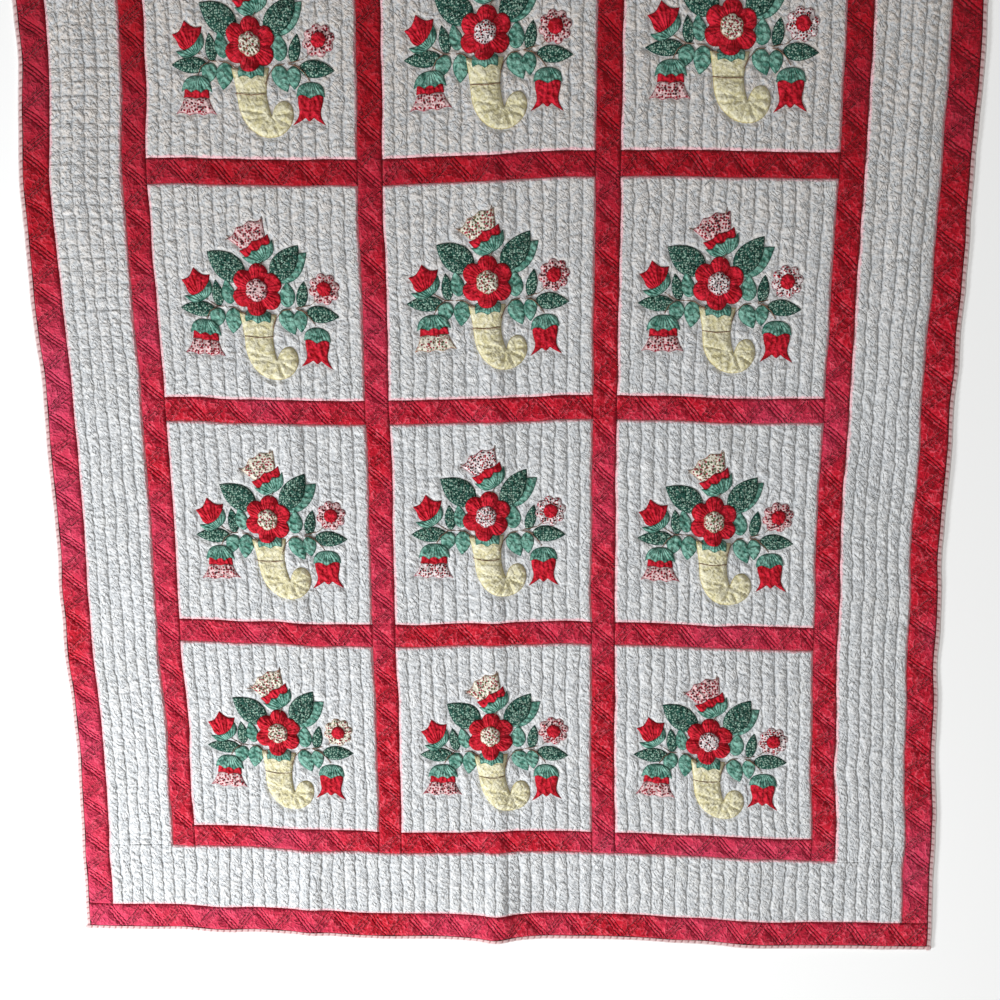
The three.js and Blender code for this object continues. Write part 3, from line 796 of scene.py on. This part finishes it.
def inset_of(points, outline):
    """How far inside an outline points lie, less than nothing outside."""
    starts, ends = outline, np.roll(outline, -1, axis=0)
    far = to_lines(points, starts, ends).min(1)
    x, y = points[:, 0, None], points[:, 1, None]
    crossed = (starts[:, 1] > y) != (ends[:, 1] > y)
    rise = np.where(ends[:, 1] == starts[:, 1], TINY, ends[:, 1] - starts[:, 1])
    at = starts[:, 0] + (y - starts[:, 1]) * (ends[:, 0] - starts[:, 0]) / rise
    inside = (crossed & (x < at)).sum(1) % 2 == 1
    return np.where(inside, far, -far)


print("outline points in a bouquet:", sum(len(patch.outline) for patch in PATCHES))

# %% [markdown]
# Then rim points, a ring just inside them for the turned edge and an even net of inner points are joined
# into triangles.

# %% Fill and puff the patches
RIM_STEP = 2.7
RIM_LEAST = 10
NET_STEP = 3.6
NET_ROW = 0.87
NET_INSET = 0.6
TURNED_EDGE = 1.4
EDGE_THICK = 0.6
RING_KEPT = 0.9
PUFF_RUN = 4.2
CREASE_WIDE = 2.4
CREASE_FADES = 4
MERGE = 1e-4


def puff_of(points, inset, patch):
    """How high a patch stands, by its points and their inset."""
    inset = np.maximum(inset, 0)
    high = patch.puff * (1 - np.exp(-inset / PUFF_RUN)) + EDGE_THICK * np.minimum(inset / TURNED_EDGE, 1)
    if patch.creases:
        starts, ends, depth = (np.array(part, float) for part in zip(*patch.creases))
        press = depth * np.exp(-((to_lines(points, starts, ends) / CREASE_WIDE) ** 2))
        high = high - press.max(1) * np.minimum(inset / CREASE_FADES, 1)
    return high


def filled(outline):
    """Points and triangles that fill an outline."""
    rim = spaced(outline, RIM_STEP, RIM_LEAST, True)
    low, high = rim.min(0), rim.max(0)
    rows = np.arange(low[1], high[1], NET_STEP * NET_ROW)
    columns = np.arange(low[0], high[0], NET_STEP)
    net = np.array([(x + (k % 2) * NET_STEP / 2, y) for k, y in enumerate(rows) for x in columns])
    net = net[inset_of(net, rim) > TURNED_EDGE + NET_STEP * NET_INSET]
    ring = rim + TURNED_EDGE * across_of(np.roll(rim, -1, axis=0) - np.roll(rim, 1, axis=0))
    ring = ring[inset_of(ring, rim) > RING_KEPT * TURNED_EDGE]
    points = [Vector(point) for point in np.vstack([rim, ring, net])]
    edges = [(k, (k + 1) % len(rim)) for k in range(len(rim))]
    found, _, faces, *_ = delaunay_2d_cdt(points, edges, [], 1, MERGE)
    return np.array(found), faces


Cut = namedtuple("Cut", "patch points faces own marks")
CUTS = []
for patch in PATCHES:
    if twice_area(patch.outline) < 0:
        patch = patch._replace(outline=patch.outline[::-1])
    points, faces = filled(patch.outline)
    inset = np.maximum(inset_of(points, patch.outline), 0)
    marks = np.stack([patch.pleats(points), inset, 0 * inset], 1)
    CUTS.append(Cut(patch, points, faces, puff_of(points, inset, patch), marks))

# %% [markdown]
# ### Laying the bouquets
# A patch that overlaps an earlier one has to drape over it. A cloth simulation could do that, but it is
# slow for so many small patches, so a map of heights on a small grid remembers what is already sewn down.
# No two bouquets were laid quite alike: each group of patches is turned and shifted a little on each
# block, and so is the whole bouquet.

# %% Lay the patches for each block
MAP_STEP = 2.5
MAP_REACH = 190
MAP_MARGIN = 12
FAR_OUTSIDE = -50.0
SEWN_THICK = 0.5
SEWN_LEAST = 0.3
GROUP_TURN = math.radians(3)
GROUP_SHIFT = 1.4
WHOLE_TURN = math.radians(1.2)
FIRST_SEED = 60
OFF_CENTRE = [
    [(12, -4), (5, 3), (4, 6)],
    [(10, 1), (3, 12), (-2, 5)],
    [(6, 7), (0, 13), (5, 5)],
    [(1, 7), (4, 4), (3, 0)],
]
Laid = namedtuple("Laid", "x y turn sewn cover places")
map_line = np.arange(-MAP_REACH, MAP_REACH + 1, MAP_STEP)
map_x, map_y = np.meshgrid(map_line, map_line, indexing="ij")
MAP_SPOTS = np.stack([map_x.ravel(), map_y.ravel()], 1)


def turned_about(points, pivot, turn):
    cos, sin = math.cos(turn), math.sin(turn)
    return pivot + (points - pivot) @ np.array([[cos, sin], [-sin, cos]])


def read_map(heights, spots):
    """Heights of a map at points in millimetres from the middle of the bouquet."""
    last = len(map_line) - 1.001
    at = np.clip((spots + MAP_REACH) / MAP_STEP, 0, last)
    return sampled(heights.reshape(map_x.shape), at[:, 0], at[:, 1], False)


def lay_bouquet(row, column, box):
    chance = np.random.default_rng(FIRST_SEED + 10 * row + column)
    groups = {cut.patch.group: chance.uniform(-1, 1, 3) for cut in CUTS}
    sewn = np.zeros(len(MAP_SPOTS))
    cover = np.full(len(MAP_SPOTS), FAR_OUTSIDE)
    places = []
    for cut in CUTS:
        turn, aside, up = groups[cut.patch.group] * (GROUP_TURN, GROUP_SHIFT, GROUP_SHIFT)
        points = turned_about(cut.points, cut.patch.pivot, turn) + (aside, up)
        under = read_map(sewn, points)
        places.append((points, under + SEWN_THICK * (under > SEWN_LEAST) + cut.own))
        low, high = points.min(0) - MAP_MARGIN, points.max(0) + MAP_MARGIN
        near = np.flatnonzero(((MAP_SPOTS > low) & (MAP_SPOTS < high)).all(1))
        spots = turned_about(MAP_SPOTS[near] - (aside, up), cut.patch.pivot, -turn)
        inset = inset_of(spots, cut.patch.outline)
        own = sewn[near] + SEWN_THICK + puff_of(spots, inset, cut.patch)
        sewn[near] = np.where(inset > -MAP_STEP, own, sewn[near])
        cover[near] = np.maximum(cover[near], inset)
    aside, up = OFF_CENTRE[row][column]
    x, y = (box.left + box.right) / 2 + aside, (box.low + box.top) / 2 + up
    whole_turn = WHOLE_TURN * math.sin(4 * row + 9 * column)
    return Laid(x, y, whole_turn, sewn, cover, places)


LAID = {}
for name, box in BLOCKS.items():
    row, column = (int(part) - 1 for part in name.split("_"))
    LAID[name] = lay_bouquet(row, column, box)
print("bouquets laid:", len(LAID))

# %% [markdown]
# ## Sheets
# A sheet of the top is a grid, as fine as its puckers need, added at the size of its piece and moved
# point by point like a sculpture. Displace modifiers could move it too, but one function for each kind of
# cloth keeps neighbours in step. Its edges are then extruded down, as a seam allowance is turned under.

# %% Lay a sheet and sew it in
TURNED_UNDER = 1.2
BACKING_NAME = "backing_cloth"


def set_marks(mesh, marks):
    layer = mesh.attributes.new("cloth", "FLOAT_VECTOR", "POINT")
    layer.data.foreach_set("vector", marks.astype(np.float32).ravel())


def lay_sheet(name, box, columns, rows, relief, material, turned=TURNED_UNDER):
    """relief: a function of x and y on the plan that gives where the points lie and their marks."""
    bpy.ops.object.select_all(action="DESELECT")
    bpy.ops.mesh.primitive_grid_add(x_subdivisions=columns, y_subdivisions=rows, size=1)
    sheet = bpy.context.object
    sheet.name = name
    mesh = sheet.data
    flat = np.empty(len(mesh.vertices) * 3, np.float32)
    mesh.vertices.foreach_get("co", flat)
    share = flat.reshape(-1, 3)[:, :2].astype(float) + 0.5
    wide, high = span(box)
    places, marks = relief(box.left + wide * share[:, 0], box.low + high * share[:, 1])
    mesh.vertices.foreach_set("co", places.astype(np.float32).ravel())
    set_marks(mesh, marks)
    if turned:
        bpy.ops.object.mode_set(mode="EDIT")
        bpy.ops.mesh.select_mode(type="EDGE")
        bpy.ops.mesh.select_all(action="DESELECT")
        bpy.ops.mesh.select_non_manifold(extend=False, use_wire=False, use_boundary=True,
                                         use_multi_face=False, use_non_contiguous=False, use_verts=False)
        bpy.ops.mesh.extrude_region_move(TRANSFORM_OT_translate={"value": (0, 0, -turned * MM)})
        bpy.ops.object.mode_set(mode="OBJECT")
    bpy.ops.object.shade_smooth()
    mesh.materials.append(material)
    return sheet


def sew_in(piece, node):
    """Ties a piece to the frame."""
    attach(piece, "root")
    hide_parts(node)


def quilt_sheet(name, node, box, columns, rows, relief, material):
    """A sheet of the top, cut with a seam allowance all round."""
    sheet = lay_sheet(name, box, columns, rows, relief, material)
    sew_in(sheet, node)


# %% [markdown]
# ### White cloth
# Rows of stitching run down all the white cloth about an inch apart. Between two rows the cloth swells
# into a channel, and creases aslant like the strands of a rope. A displace texture could press that in,
# but it repeats. Here each channel has its own run of waves. Next to a seam the cloth dips in small
# teeth.

# %% Channels
STITCHED = 3.0
WHITE_PUFF = 3.5
SEAM_HIGH = 2.6
LEAST_HIGH = 2.4
TOOTH = 10
TOOTH_HIGH = 1.4
TOOTH_AT = 3.5
TOOTH_WIDE = 3
TOOTH_WANDER = 2.5
TOOTH_WAVE = 40
SEAM_RUN = 4.5
SEAM_CURVE = 1.3
LANE_SWAY = 0.06
LANE_SHAKE = 0.09
# Each channel's own waves: the step from channel to channel, their length in mm and their seed.
PLUMP_WAVE = (5.7, 50, 13)
PLUMP = 0.25
LEAN_WAVE = (3.3, 130, 17)
LEAN_KEEN = 3
ROPE_WAVE = (9.1, 32, 19)
ROPE_STEP = 15
ROPE_LEAN = 1.1
ROPE_WANDER = 1.1
ROPE_KEEN = 2.2
ROPE_DEEP = 3.2
ROPE_SWELL = 0.7
DEPTH_WAVE = (2.3, 24, 29)
DEPTH = (0.6, 0.4)


def pinched(high, far, run):
    """Heights drawn down to a seam, with the small teeth of a gathered seam beside it."""
    wander = TOOTH_WANDER * ripple(run / TOOTH_WAVE, far / TOOTH_WAVE, 23)
    tooth = 0.5 + 0.5 * np.cos(2 * np.pi * run / TOOTH + wander)
    rise = 1 - np.exp(-((far / SEAM_RUN) ** SEAM_CURVE))
    beside = np.exp(-(((far - TOOTH_AT) / TOOTH_WIDE) ** 2))
    return SEAM_HIGH + (high - SEAM_HIGH) * rise + TOOTH_HIGH * tooth * beside


def swollen(lane):
    """The swell of a channel, by its place across it."""
    across = lane - np.floor(lane)
    return np.clip(4 * across * (1 - across), 0, 1) ** 0.5


def channels(x, y, lane, seed):
    """Heights over the stitching of cloth quilted in channels, and the wavering lane."""
    sway = LANE_SWAY * ripple(x / 45, y / 40, seed)
    lane = lane + sway + LANE_SHAKE * ripple(x / 12, y / 9, seed + 1)
    number = np.floor(lane)
    swell = swollen(lane)

    def own(step, long, wave_seed):
        return ripple(number * step + seed, y / long, wave_seed)

    plump = 1 + PLUMP * own(*PLUMP_WAVE)
    lean = np.tanh(LEAN_KEEN * own(*LEAN_WAVE))
    wave = y / ROPE_STEP + ROPE_LEAN * lean * (lane - number - 0.5) + ROPE_WANDER * own(*ROPE_WAVE)
    crease = (0.5 + 0.5 * np.cos(2 * np.pi * wave)) ** ROPE_KEEN
    crease = crease * (DEPTH[0] + DEPTH[1] * own(*DEPTH_WAVE))
    puff = WHITE_PUFF * swell * plump - ROPE_DEEP * crease * swell**ROPE_SWELL
    return np.maximum(puff, LEAST_HIGH - STITCHED), lane


print("a channel swells by", WHITE_PUFF, "mm")

# %% [markdown]
# Round a bouquet the rows of stitching stop, and the cloth is held down by the sewing of the patches. The
# map of what is sewn down tells where a block's ground is clear.

# %% Quilted blocks
CHANNEL_CELLS = 6
ROW_STEP = 3.5
UNDER_PATCH = 0.4
PATCH_EDGE = (1, 8)


def white_sheet(name, node, box, relief):
    wide, high = span(box)
    columns = CHANNEL_CELLS * round(wide / CHANNEL)
    quilt_sheet(name, node, box, columns, round(high / ROW_STEP), relief, WHITE)


def block_relief(laid, box, seed):
    wide, _ = span(box)

    def relief(x, y):
        puff, lane = channels(x, y, (x - box.left) / wide * round(wide / CHANNEL), seed)
        spot = turned_about(np.stack([x - laid.x, y - laid.y], 1), np.zeros(2), -laid.turn)
        clear = eased(-read_map(laid.cover, spot), *PATCH_EDGE)
        sides = np.stack([x - box.left, box.right - x, y - box.low, box.top - y])
        far = sides.min(0)
        run = np.where(sides[:2].min(0) < sides[2:].min(0), y, x)
        high = pinched(STITCHED + puff * clear - UNDER_PATCH * (1 - clear), far, run)
        return settled(x, y, high), np.stack([lane, far, clear], 1)

    return relief


for k, (name, box) in enumerate(BLOCKS.items()):
    white_sheet(f"quilted_block_{name}", f"block_{name}", box, block_relief(LAID[name], box, 17 * k))
print("white blocks:", len(BLOCKS))

# %% [markdown]
# On the borders the rows run on round the corners, so all four share one count of channels. Faint rows
# across the upper left border make squares.

# %% Quilted borders
BORDER_SEED = 101
SQUARES = 0.5
SQUARES_UP = (-300, 350)
SQUARES_LEFT = (600, 720)
SQUARE_DEEP = 2.0
SQUARE_WIDE = 3.5
SIDE_LANES = 6
MIDDLE_LANES = 56
LANES_AT = np.array([-OUTER_X, -INNER_X, INNER_X, OUTER_X])
LANES = np.array([0, SIDE_LANES, SIDE_LANES + MIDDLE_LANES, 2 * SIDE_LANES + MIDDLE_LANES], float)


def border_relief(x, y):
    puff, lane = channels(x, y, np.interp(x, LANES_AT, LANES), BORDER_SEED)
    squares = SQUARES * eased(y, *SQUARES_UP) * eased(-x, *SQUARES_LEFT)
    off_tick = np.abs((y / CHANNEL + 0.5) % 1 - 0.5) * CHANNEL
    puff = puff - SQUARE_DEEP * squares * np.exp(-((off_tick / SQUARE_WIDE) ** 2))
    beside, above = np.maximum(np.abs(x) - INNER_X, 0), np.maximum(np.abs(y) - INNER_Y, 0)
    inner = np.hypot(beside, above)
    far_x, far_y = OUTER_X - np.abs(x), OUTER_Y - np.abs(y)
    outer = np.minimum(far_x, far_y)
    far = np.minimum(inner, outer)
    upright = np.where(inner < outer, beside > above, far_x < far_y)
    high = pinched(np.maximum(STITCHED + puff, LEAST_HIGH), far, np.where(upright, y, x))
    return settled(x, y, high), np.stack([lane, far, 1 + squares], 1)


for side, box in BORDERS.items():
    white_sheet(f"white_border_{side}", f"border_{side}", box, border_relief)
print("white borders:", len(BORDERS))

# %% [markdown]
# ### Red sashing and bands
# On the red strips the three lines of stitching go to and fro, and the triangles left between the legs
# swell up. Fine puckers stand square to the lines. The strip could be sculpted in one pass, but here each
# part has its own term, so each can be made stronger or weaker alone.

# %% Quilted red cloth
RED_BASE = 0.8
RED_PUFF = 5.2
RED_STEP = 3.4
FIELD_RUN = 9
FIELD_CURVE = 1.2
PUCKER = 10
PUCKER_HIGH = 1.3
PUCKER_REACH = 12
PUCKER_WANDER = 2.5
PUCKER_WAVE = 25
LEG_SHAKE = 2.5
LEG_WAVE = 30
ROUGH = 0.8
ROUGH_WAVES = (6, 12)
NOWHERE_NEAR = 1e3


def zigzag(x, y, along, across, wide, seed):
    """Heights of a red strip."""
    near = np.full(x.shape, NOWHERE_NEAR)
    pucker = np.zeros(x.shape)
    wander = PUCKER_WANDER * ripple(x / PUCKER_WAVE, y / PUCKER_WAVE, seed + 2)
    for sign in (1, -1):
        leg = along / ZIGZAG_LEG + sign * across / wide
        off = np.abs((leg + 1) % 2 - 1) * square_on(wide)
        run = (along / ZIGZAG_LEG - sign * across / wide) * square_on(wide)
        ridge = np.cos(2 * np.pi * run / PUCKER + wander)
        pucker = pucker + ridge * np.exp(-((off / PUCKER_REACH) ** 2))
        near = np.minimum(near, off)
    field = 1 - np.exp(-((np.maximum(near - LINE_APART, 0) / FIELD_RUN) ** FIELD_CURVE))
    rough = sum(ROUGH * ripple(x / long, y / long, seed + k) for k, long in enumerate(ROUGH_WAVES))
    high = STITCHED + RED_BASE + RED_PUFF * field + PUCKER_HIGH * pucker + rough
    return np.maximum(high, LEAST_HIGH)


def red_relief(box, upright, seed):
    wide, long = sorted(span(box))

    def relief(x, y):
        ends, sides = (y - box.low, x - box.left) if upright else (x - box.left, y - box.low)
        along = ends + LEG_SHAKE * ripple(x / LEG_WAVE, y / LEG_WAVE, seed + 3)
        high = zigzag(x, y, along, sides, wide, seed)
        far = np.minimum(np.minimum(sides, wide - sides), np.minimum(ends, long - ends))
        return settled(x, y, pinched(high, far, ends + sides)), np.stack([along, sides, 0 * x], 1)

    return relief


def red_sheet(name, node, box, upright, material, seed):
    columns, rows = (round(side / RED_STEP) for side in span(box))
    quilt_sheet(name, node, box, columns, rows, red_relief(box, upright, seed), material)


for k, (name, box) in enumerate(DOWN.items()):
    red_sheet(f"sashing_down_{name}", f"sash_down_{name}", box, True, RED_SASH, 200 + 5 * k)
for k, (name, box) in enumerate(ACROSS.items()):
    red_sheet(f"sashing_across_{name}", f"sash_across_{name}", box, False, RED_SASH, 230 + 5 * k)
for k, (side, box) in enumerate(BANDS.items()):
    red_sheet(f"red_band_{side}", f"band_{side}", box, side in ("left", "right"), RED_BAND, 320 + 5 * k)
print("red pieces:", len(DOWN) + len(ACROSS) + len(BANDS))

# %% [markdown]
# ### Binding
# The binding is a strip folded round the raw edge, from the face to the back. A bevelled curve could
# stand for it, but it starts as a grid like the other strips, and its points are rolled round the edge.
# Each stitch that whips it down pinches it.

# %% Bound edge
ROLL_STEPS = 9
ROLL_HIGH = 5.0
ROLL_OFF_FLOOR = 0.1
ROLL_PINCH = 0.14
ROLL_SWELL = 0.1
ROLL_TUCK = 0.06
ROLL_BLUNT = 0.5
ROLL_WAVER = 0.05
ROLL_ROUND = 27
BIND_STEP = 3.5


def bound_edge(side, inner, outer, reach, upright):
    """A strip rolled round one edge of the quilt."""
    def relief(x, y):
        run, place = (y, x) if upright else (x, y)
        share = (place - inner) / (outer - inner)
        turn = np.pi * (share - 0.5)
        pinch = 0.5 + 0.5 * np.cos(2 * np.pi * run / TICK_APART)
        tall = ROLL_HIGH * (1 - ROLL_PINCH * pinch + ROLL_SWELL * ripple(run / 60, 0, 41))
        high = tall / 2 * (1 - np.sin(turn)) + ROLL_OFF_FLOOR
        out = np.abs(np.cos(turn)) ** ROLL_BLUNT
        share_out = out * (1 + ROLL_WAVER * ripple(run / 25, 0, 43)) - ROLL_TUCK * (1 - out)
        rolled = inner + (outer - inner) * share_out
        places = settled(rolled, run, high) if upright else settled(run, rolled, high)
        return places, np.stack([run, share * ROLL_ROUND, 0 * run], 1)

    low, high = sorted((inner, outer))
    steps = round(2 * reach / BIND_STEP)
    box = Box(low, high, -reach, reach) if upright else Box(-reach, reach, low, high)
    columns, rows = (ROLL_STEPS, steps) if upright else (steps, ROLL_STEPS)
    strip = lay_sheet(f"bound_edge_{side}", box, columns, rows, relief, BOUND, turned=0)
    sew_in(strip, f"binding_{side}")


bound_edge("left", -BAND_X, -HALF_WIDE, HALF_HIGH, True)
bound_edge("right", BAND_X, HALF_WIDE, HALF_HIGH, True)
bound_edge("top", BAND_Y, HALF_HIGH, HALF_WIDE, False)
bound_edge("bottom", -BAND_Y, -HALF_HIGH, HALF_WIDE, False)
print("binding:", ROLL_STEPS, "steps round the edge,", ROLL_HIGH, "mm high")

# %% [markdown]
# ### Backing
# The backing is one whole cloth under everything, and it lies on the floor. The stitching of the top
# shows on it as shallow grooves. A flat plane would do from above, but the quilt may be turned over or
# lifted, so the grooves are there, and the faces look down.

# %% Backing
BACK_CELLS = 4
BACK_ROW_STEP = 15
BACK_LOW = 0.2
BACK_GROOVE = 0.6
BACK_RIPPLE = 0.2


def backing_relief(x, y):
    pulled = 1 - swollen(np.interp(x, LANES_AT, LANES))
    for box in BLOCKS.values():
        inside = (x > box.left) & (x < box.right) & (y > box.low) & (y < box.top)
        pulled[inside] = 1 - swollen((x[inside] - box.left) / CHANNEL)
    high = BACK_LOW + BACK_GROOVE * pulled + BACK_RIPPLE * (1 + ripple(x / 12, y / 26, 51))
    return settled(x, y, high), np.zeros((len(x), 3))


back_columns, back_rows = round(BACK_CELLS * 2 * BAND_X / CHANNEL), round(2 * BAND_Y / BACK_ROW_STEP)
backing = lay_sheet(BACKING_NAME, Box(-BAND_X, BAND_X, -BAND_Y, BAND_Y), back_columns, back_rows,
                    backing_relief, BACK, turned=0)
bpy.ops.object.mode_set(mode="EDIT")
bpy.ops.mesh.select_all(action="SELECT")
bpy.ops.mesh.flip_normals()
bpy.ops.object.mode_set(mode="OBJECT")
sew_in(backing, "backing")
print("backing:", back_columns, "by", back_rows, "faces")

# %% [markdown]
# ## Bouquets
# The laid patches are set on each block and draped on the laid quilt, crinkled each in its own way. Every
# patch could be an object, but one mesh for a bouquet, with a material for each cloth, is lighter. Which
# scrap print a flower has was up to the maker, so a small table gives the prints of the bud, the rose's
# eye, the bell and the daisy for each block.

# %% Sew on the patches
FLOWERS = ("bud", "rose", "bell", "daisy")
PRINTS = {
    "1_1": "cream cream pink pink", "1_2": "dot dot pink pink", "1_3": "pink cream pink dot",
    "2_1": "pink pink pink pink", "2_2": "cream cream cream pink", "2_3": "pink dot pink dot",
    "3_1": "cream cream pink pink", "3_2": "dot dot dot dot", "3_3": "cream cream pink pink",
    "4_1": "cream cream pink cream", "4_2": "cream cream pink pink", "4_3": "pink dot pink dot",
}
PATCH_BASE = STITCHED - 0.2
CRINKLE = 1.1
CRINKLE_LONG = 7
CRINKLE_FROM = 2


def on_block(points, laid):
    placed = turned_about(points, np.zeros(2), laid.turn)
    return placed[:, 0] + laid.x, placed[:, 1] + laid.y


def mesh_piece(name, places, faces, cloths, marks):
    """A joined mesh of patches, each face with the index of its cloth."""
    mesh = bpy.data.meshes.new(name)
    mesh.from_pydata(places.tolist(), [], faces)
    for cloth in CLOTHS.values():
        mesh.materials.append(cloth)
    mesh.polygons.foreach_set("material_index", np.array(cloths, np.int32))
    mesh.polygons.foreach_set("use_smooth", np.ones(len(faces), bool))
    set_marks(mesh, marks)
    mesh.update()
    piece = bpy.data.objects.new(name, mesh)
    bpy.context.scene.collection.objects.link(piece)
    return piece


def sew_bouquet(name, seed):
    prints = dict(zip(FLOWERS, PRINTS[name].split()))
    places, faces, cloths = [], [], []
    first = 0
    for cut, (points, high) in zip(CUTS, LAID[name].places):
        x, y = on_block(points, LAID[name])
        crinkle = CRINKLE * ripple(x / CRINKLE_LONG, y / CRINKLE_LONG, seed)
        high = high + crinkle * np.minimum(cut.own / CRINKLE_FROM, 1)
        places.append(settled(x, y, PATCH_BASE + high))
        faces += [[first + k for k in face] for face in cut.faces]
        cloths += [CLOTH_NAMES.index(prints.get(cut.patch.cloth, cut.patch.cloth))] * len(cut.faces)
        first += len(points)
    marks = np.vstack([cut.marks for cut in CUTS])
    piece = mesh_piece(f"applique_{name}", np.vstack(places), faces, cloths, marks)
    wide, high = np.ptp(np.vstack([cut.points for cut in CUTS]), axis=0)
    sew_in(piece, f"bouquet_{name}")


for k, name in enumerate(BLOCKS):
    sew_bouquet(name, 400 + k)
print("bouquets:", len(BLOCKS))

# %% [markdown]
# ### Embroidered stems
# Thin stems in brown stem stitch join the flowers and leaves to the horn, a line of it gathers the horn
# below its mouth, and whiskers stand round the bud. Curves would do for thread, but a mesh can lie on the
# map of heights. Each stem is a run of thread with a four-sided section that lies on whatever is under
# it.

# %% Stem stitch
STEMS = [
    [(-32, -42), (-56, -27), (-90, -26), (-112, -12)],
    [(-90, -27), (-104, -36), (-113, -52)],
    [(17, -66), (24, -46), (38, -31), (60, -27), (92, -20), (107, -8)],
    [(60, -27), (86, -34)],
    [(74, -28), (92, -44), (102, -59)],
    [(-40, -83), (-12, -86), (17, -83)],
    [(3, 62), (-2, 52)],
    [(-62, 102), (-74, 100)],
    [(-60, 106), (-71, 110)],
    [(0, 138), (2, 150)],
]
THREAD = 0.8
THREAD_LIES = 0.5
THREAD_SECTION = ((1, 0), (0, 1.0), (-1, 0), (0, -0.9))
STEM_STEP = 4
STEM_LEAST = 3
NO_RIM = 9.0


def sew_stems(name):
    places, faces = [], []
    first = 0
    for stem in STEMS:
        line = spaced(stem, STEM_STEP, STEM_LEAST, False)
        aside = across_of(np.gradient(line, axis=0)) * THREAD
        high = PATCH_BASE + THREAD_LIES + read_map(LAID[name].sewn, line)
        count = len(line)
        for share, up in THREAD_SECTION:
            x, y = on_block(line + share * aside, LAID[name])
            places.append(settled(x, y, high + up))
        for k in range(4):
            for n in range(count - 1):
                a, b = first + k * count + n, first + (k + 1) % 4 * count + n
                faces.append([a, a + 1, b + 1, b])
        faces.append([first + k * count for k in range(4)])
        faces.append([first + k * count + count - 1 for k in (3, 2, 1, 0)])
        first += 4 * count
    places = np.vstack(places)
    cloths = [CLOTH_NAMES.index("thread")] * len(faces)
    piece = mesh_piece(f"stems_{name}", places, faces, cloths, np.full((len(places), 3), NO_RIM))
    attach(piece, "root")


for name in BLOCKS:
    sew_stems(name)
print("stems on each block:", len(STEMS))

# %% [markdown]
# ## Floor and light
# The quilt lies on a plain pale floor, which glows a little so that it stays near white, as in the photo.
# A soft window light low on the left rakes across it, so every channel and pucker has a bright and a dark
# side. It stands near, so the far top corner gets less of it. A weak wide light fills the lower end, and
# a pale sky fills the shadows. The sky is brighter where the camera sees it than where it lights the
# quilt.

# %% Floor and lights
FLOOR_SIZE = 300
FLOOR_DROP = 0.0006
FLOOR_LOOK = {"Base Color": linear("#f4f4f2"), "Roughness": 0.9,
              "Emission Color": linear("#ffffff"), "Emission Strength": 0.3}
SKY_LIGHT = 0.29
SKY_SEEN = 0.26

bpy.ops.mesh.primitive_plane_add(size=FLOOR_SIZE, location=(0, 0, -FLOOR_DROP))
floor = bpy.context.object
floor.name = "floor"
# A matt paint, nearly white, that takes the quilt's soft shadow.
paint = bpy.data.materials.new("pale matt floor paint")
paint.use_nodes = True
for part, value in FLOOR_LOOK.items():
    paint.node_tree.nodes["Principled BSDF"].inputs[part].default_value = value
floor.data.materials.append(paint)

world = bpy.data.worlds.new("soft room light")
bpy.context.scene.world = world
world.use_nodes = True
background = world.node_tree.nodes["Background"].inputs
background["Color"].default_value = linear("#f6f4f2")
seen = add(world.node_tree, "LightPath")
sky = add(world.node_tree, "Math", (seen, SKY_SEEN, SKY_LIGHT), operation="MULTIPLY_ADD")
world.node_tree.links.new(sky, background["Strength"])


def soft_light(name, place, target, size, power, tint):
    data = bpy.data.lights.new(name, "AREA")
    data.shape = "DISK"
    data.color = linear(tint)[:3]
    data.size = size
    data.energy = power
    lamp = bpy.data.objects.new(name, data)
    lamp.location = place
    lamp.rotation_euler = (Vector(target) - Vector(place)).to_track_quat("-Z", "Y").to_euler()
    lamp.visible_camera = False
    bpy.context.scene.collection.objects.link(lamp)


soft_light("window light", (-3.3, -3.0, 2.15), (0, -0.2, 0), 1.1, 228, "#f8fbff")
soft_light("open door light", (-1.2, -2.6, 2.6), (0, -0.6, 0), 3.0, 18, "#ffffff")
bpy.context.scene.view_settings.view_transform = "Standard"
print("lights:", len(bpy.data.lights))

# %% [markdown]
# ## Camera
# The photo was taken by someone standing at the top edge, who held the camera over the quilt, a little to
# the right and not quite level. A camera could track a target, but building its axes shows the roll.

# %% Camera
EYE = Vector((0.123, 0.157, 1.992))
LOOK_AT = Vector((0.0148, -0.182, 0))
ROLL = -0.008
LENS = 36
SENSOR = 36
ahead = (LOOK_AT - EYE).normalized()
right = ahead.cross(Vector((0, 1, 0))).normalized()
up = right.cross(ahead)
turned_right = right * math.cos(ROLL) + up * math.sin(ROLL)
turned_up = up * math.cos(ROLL) - right * math.sin(ROLL)
camera_data = bpy.data.cameras.new("camera")
camera_data.lens = LENS
camera_data.sensor_width = SENSOR
camera = bpy.data.objects.new("camera", camera_data)
axes_of_camera = Matrix((turned_right, turned_up, -ahead)).transposed().to_4x4()
camera.matrix_world = Matrix.Translation(EYE) @ axes_of_camera
bpy.context.scene.collection.objects.link(camera)
bpy.context.scene.camera = camera
print("camera at", [round(part, 2) for part in EYE], "m")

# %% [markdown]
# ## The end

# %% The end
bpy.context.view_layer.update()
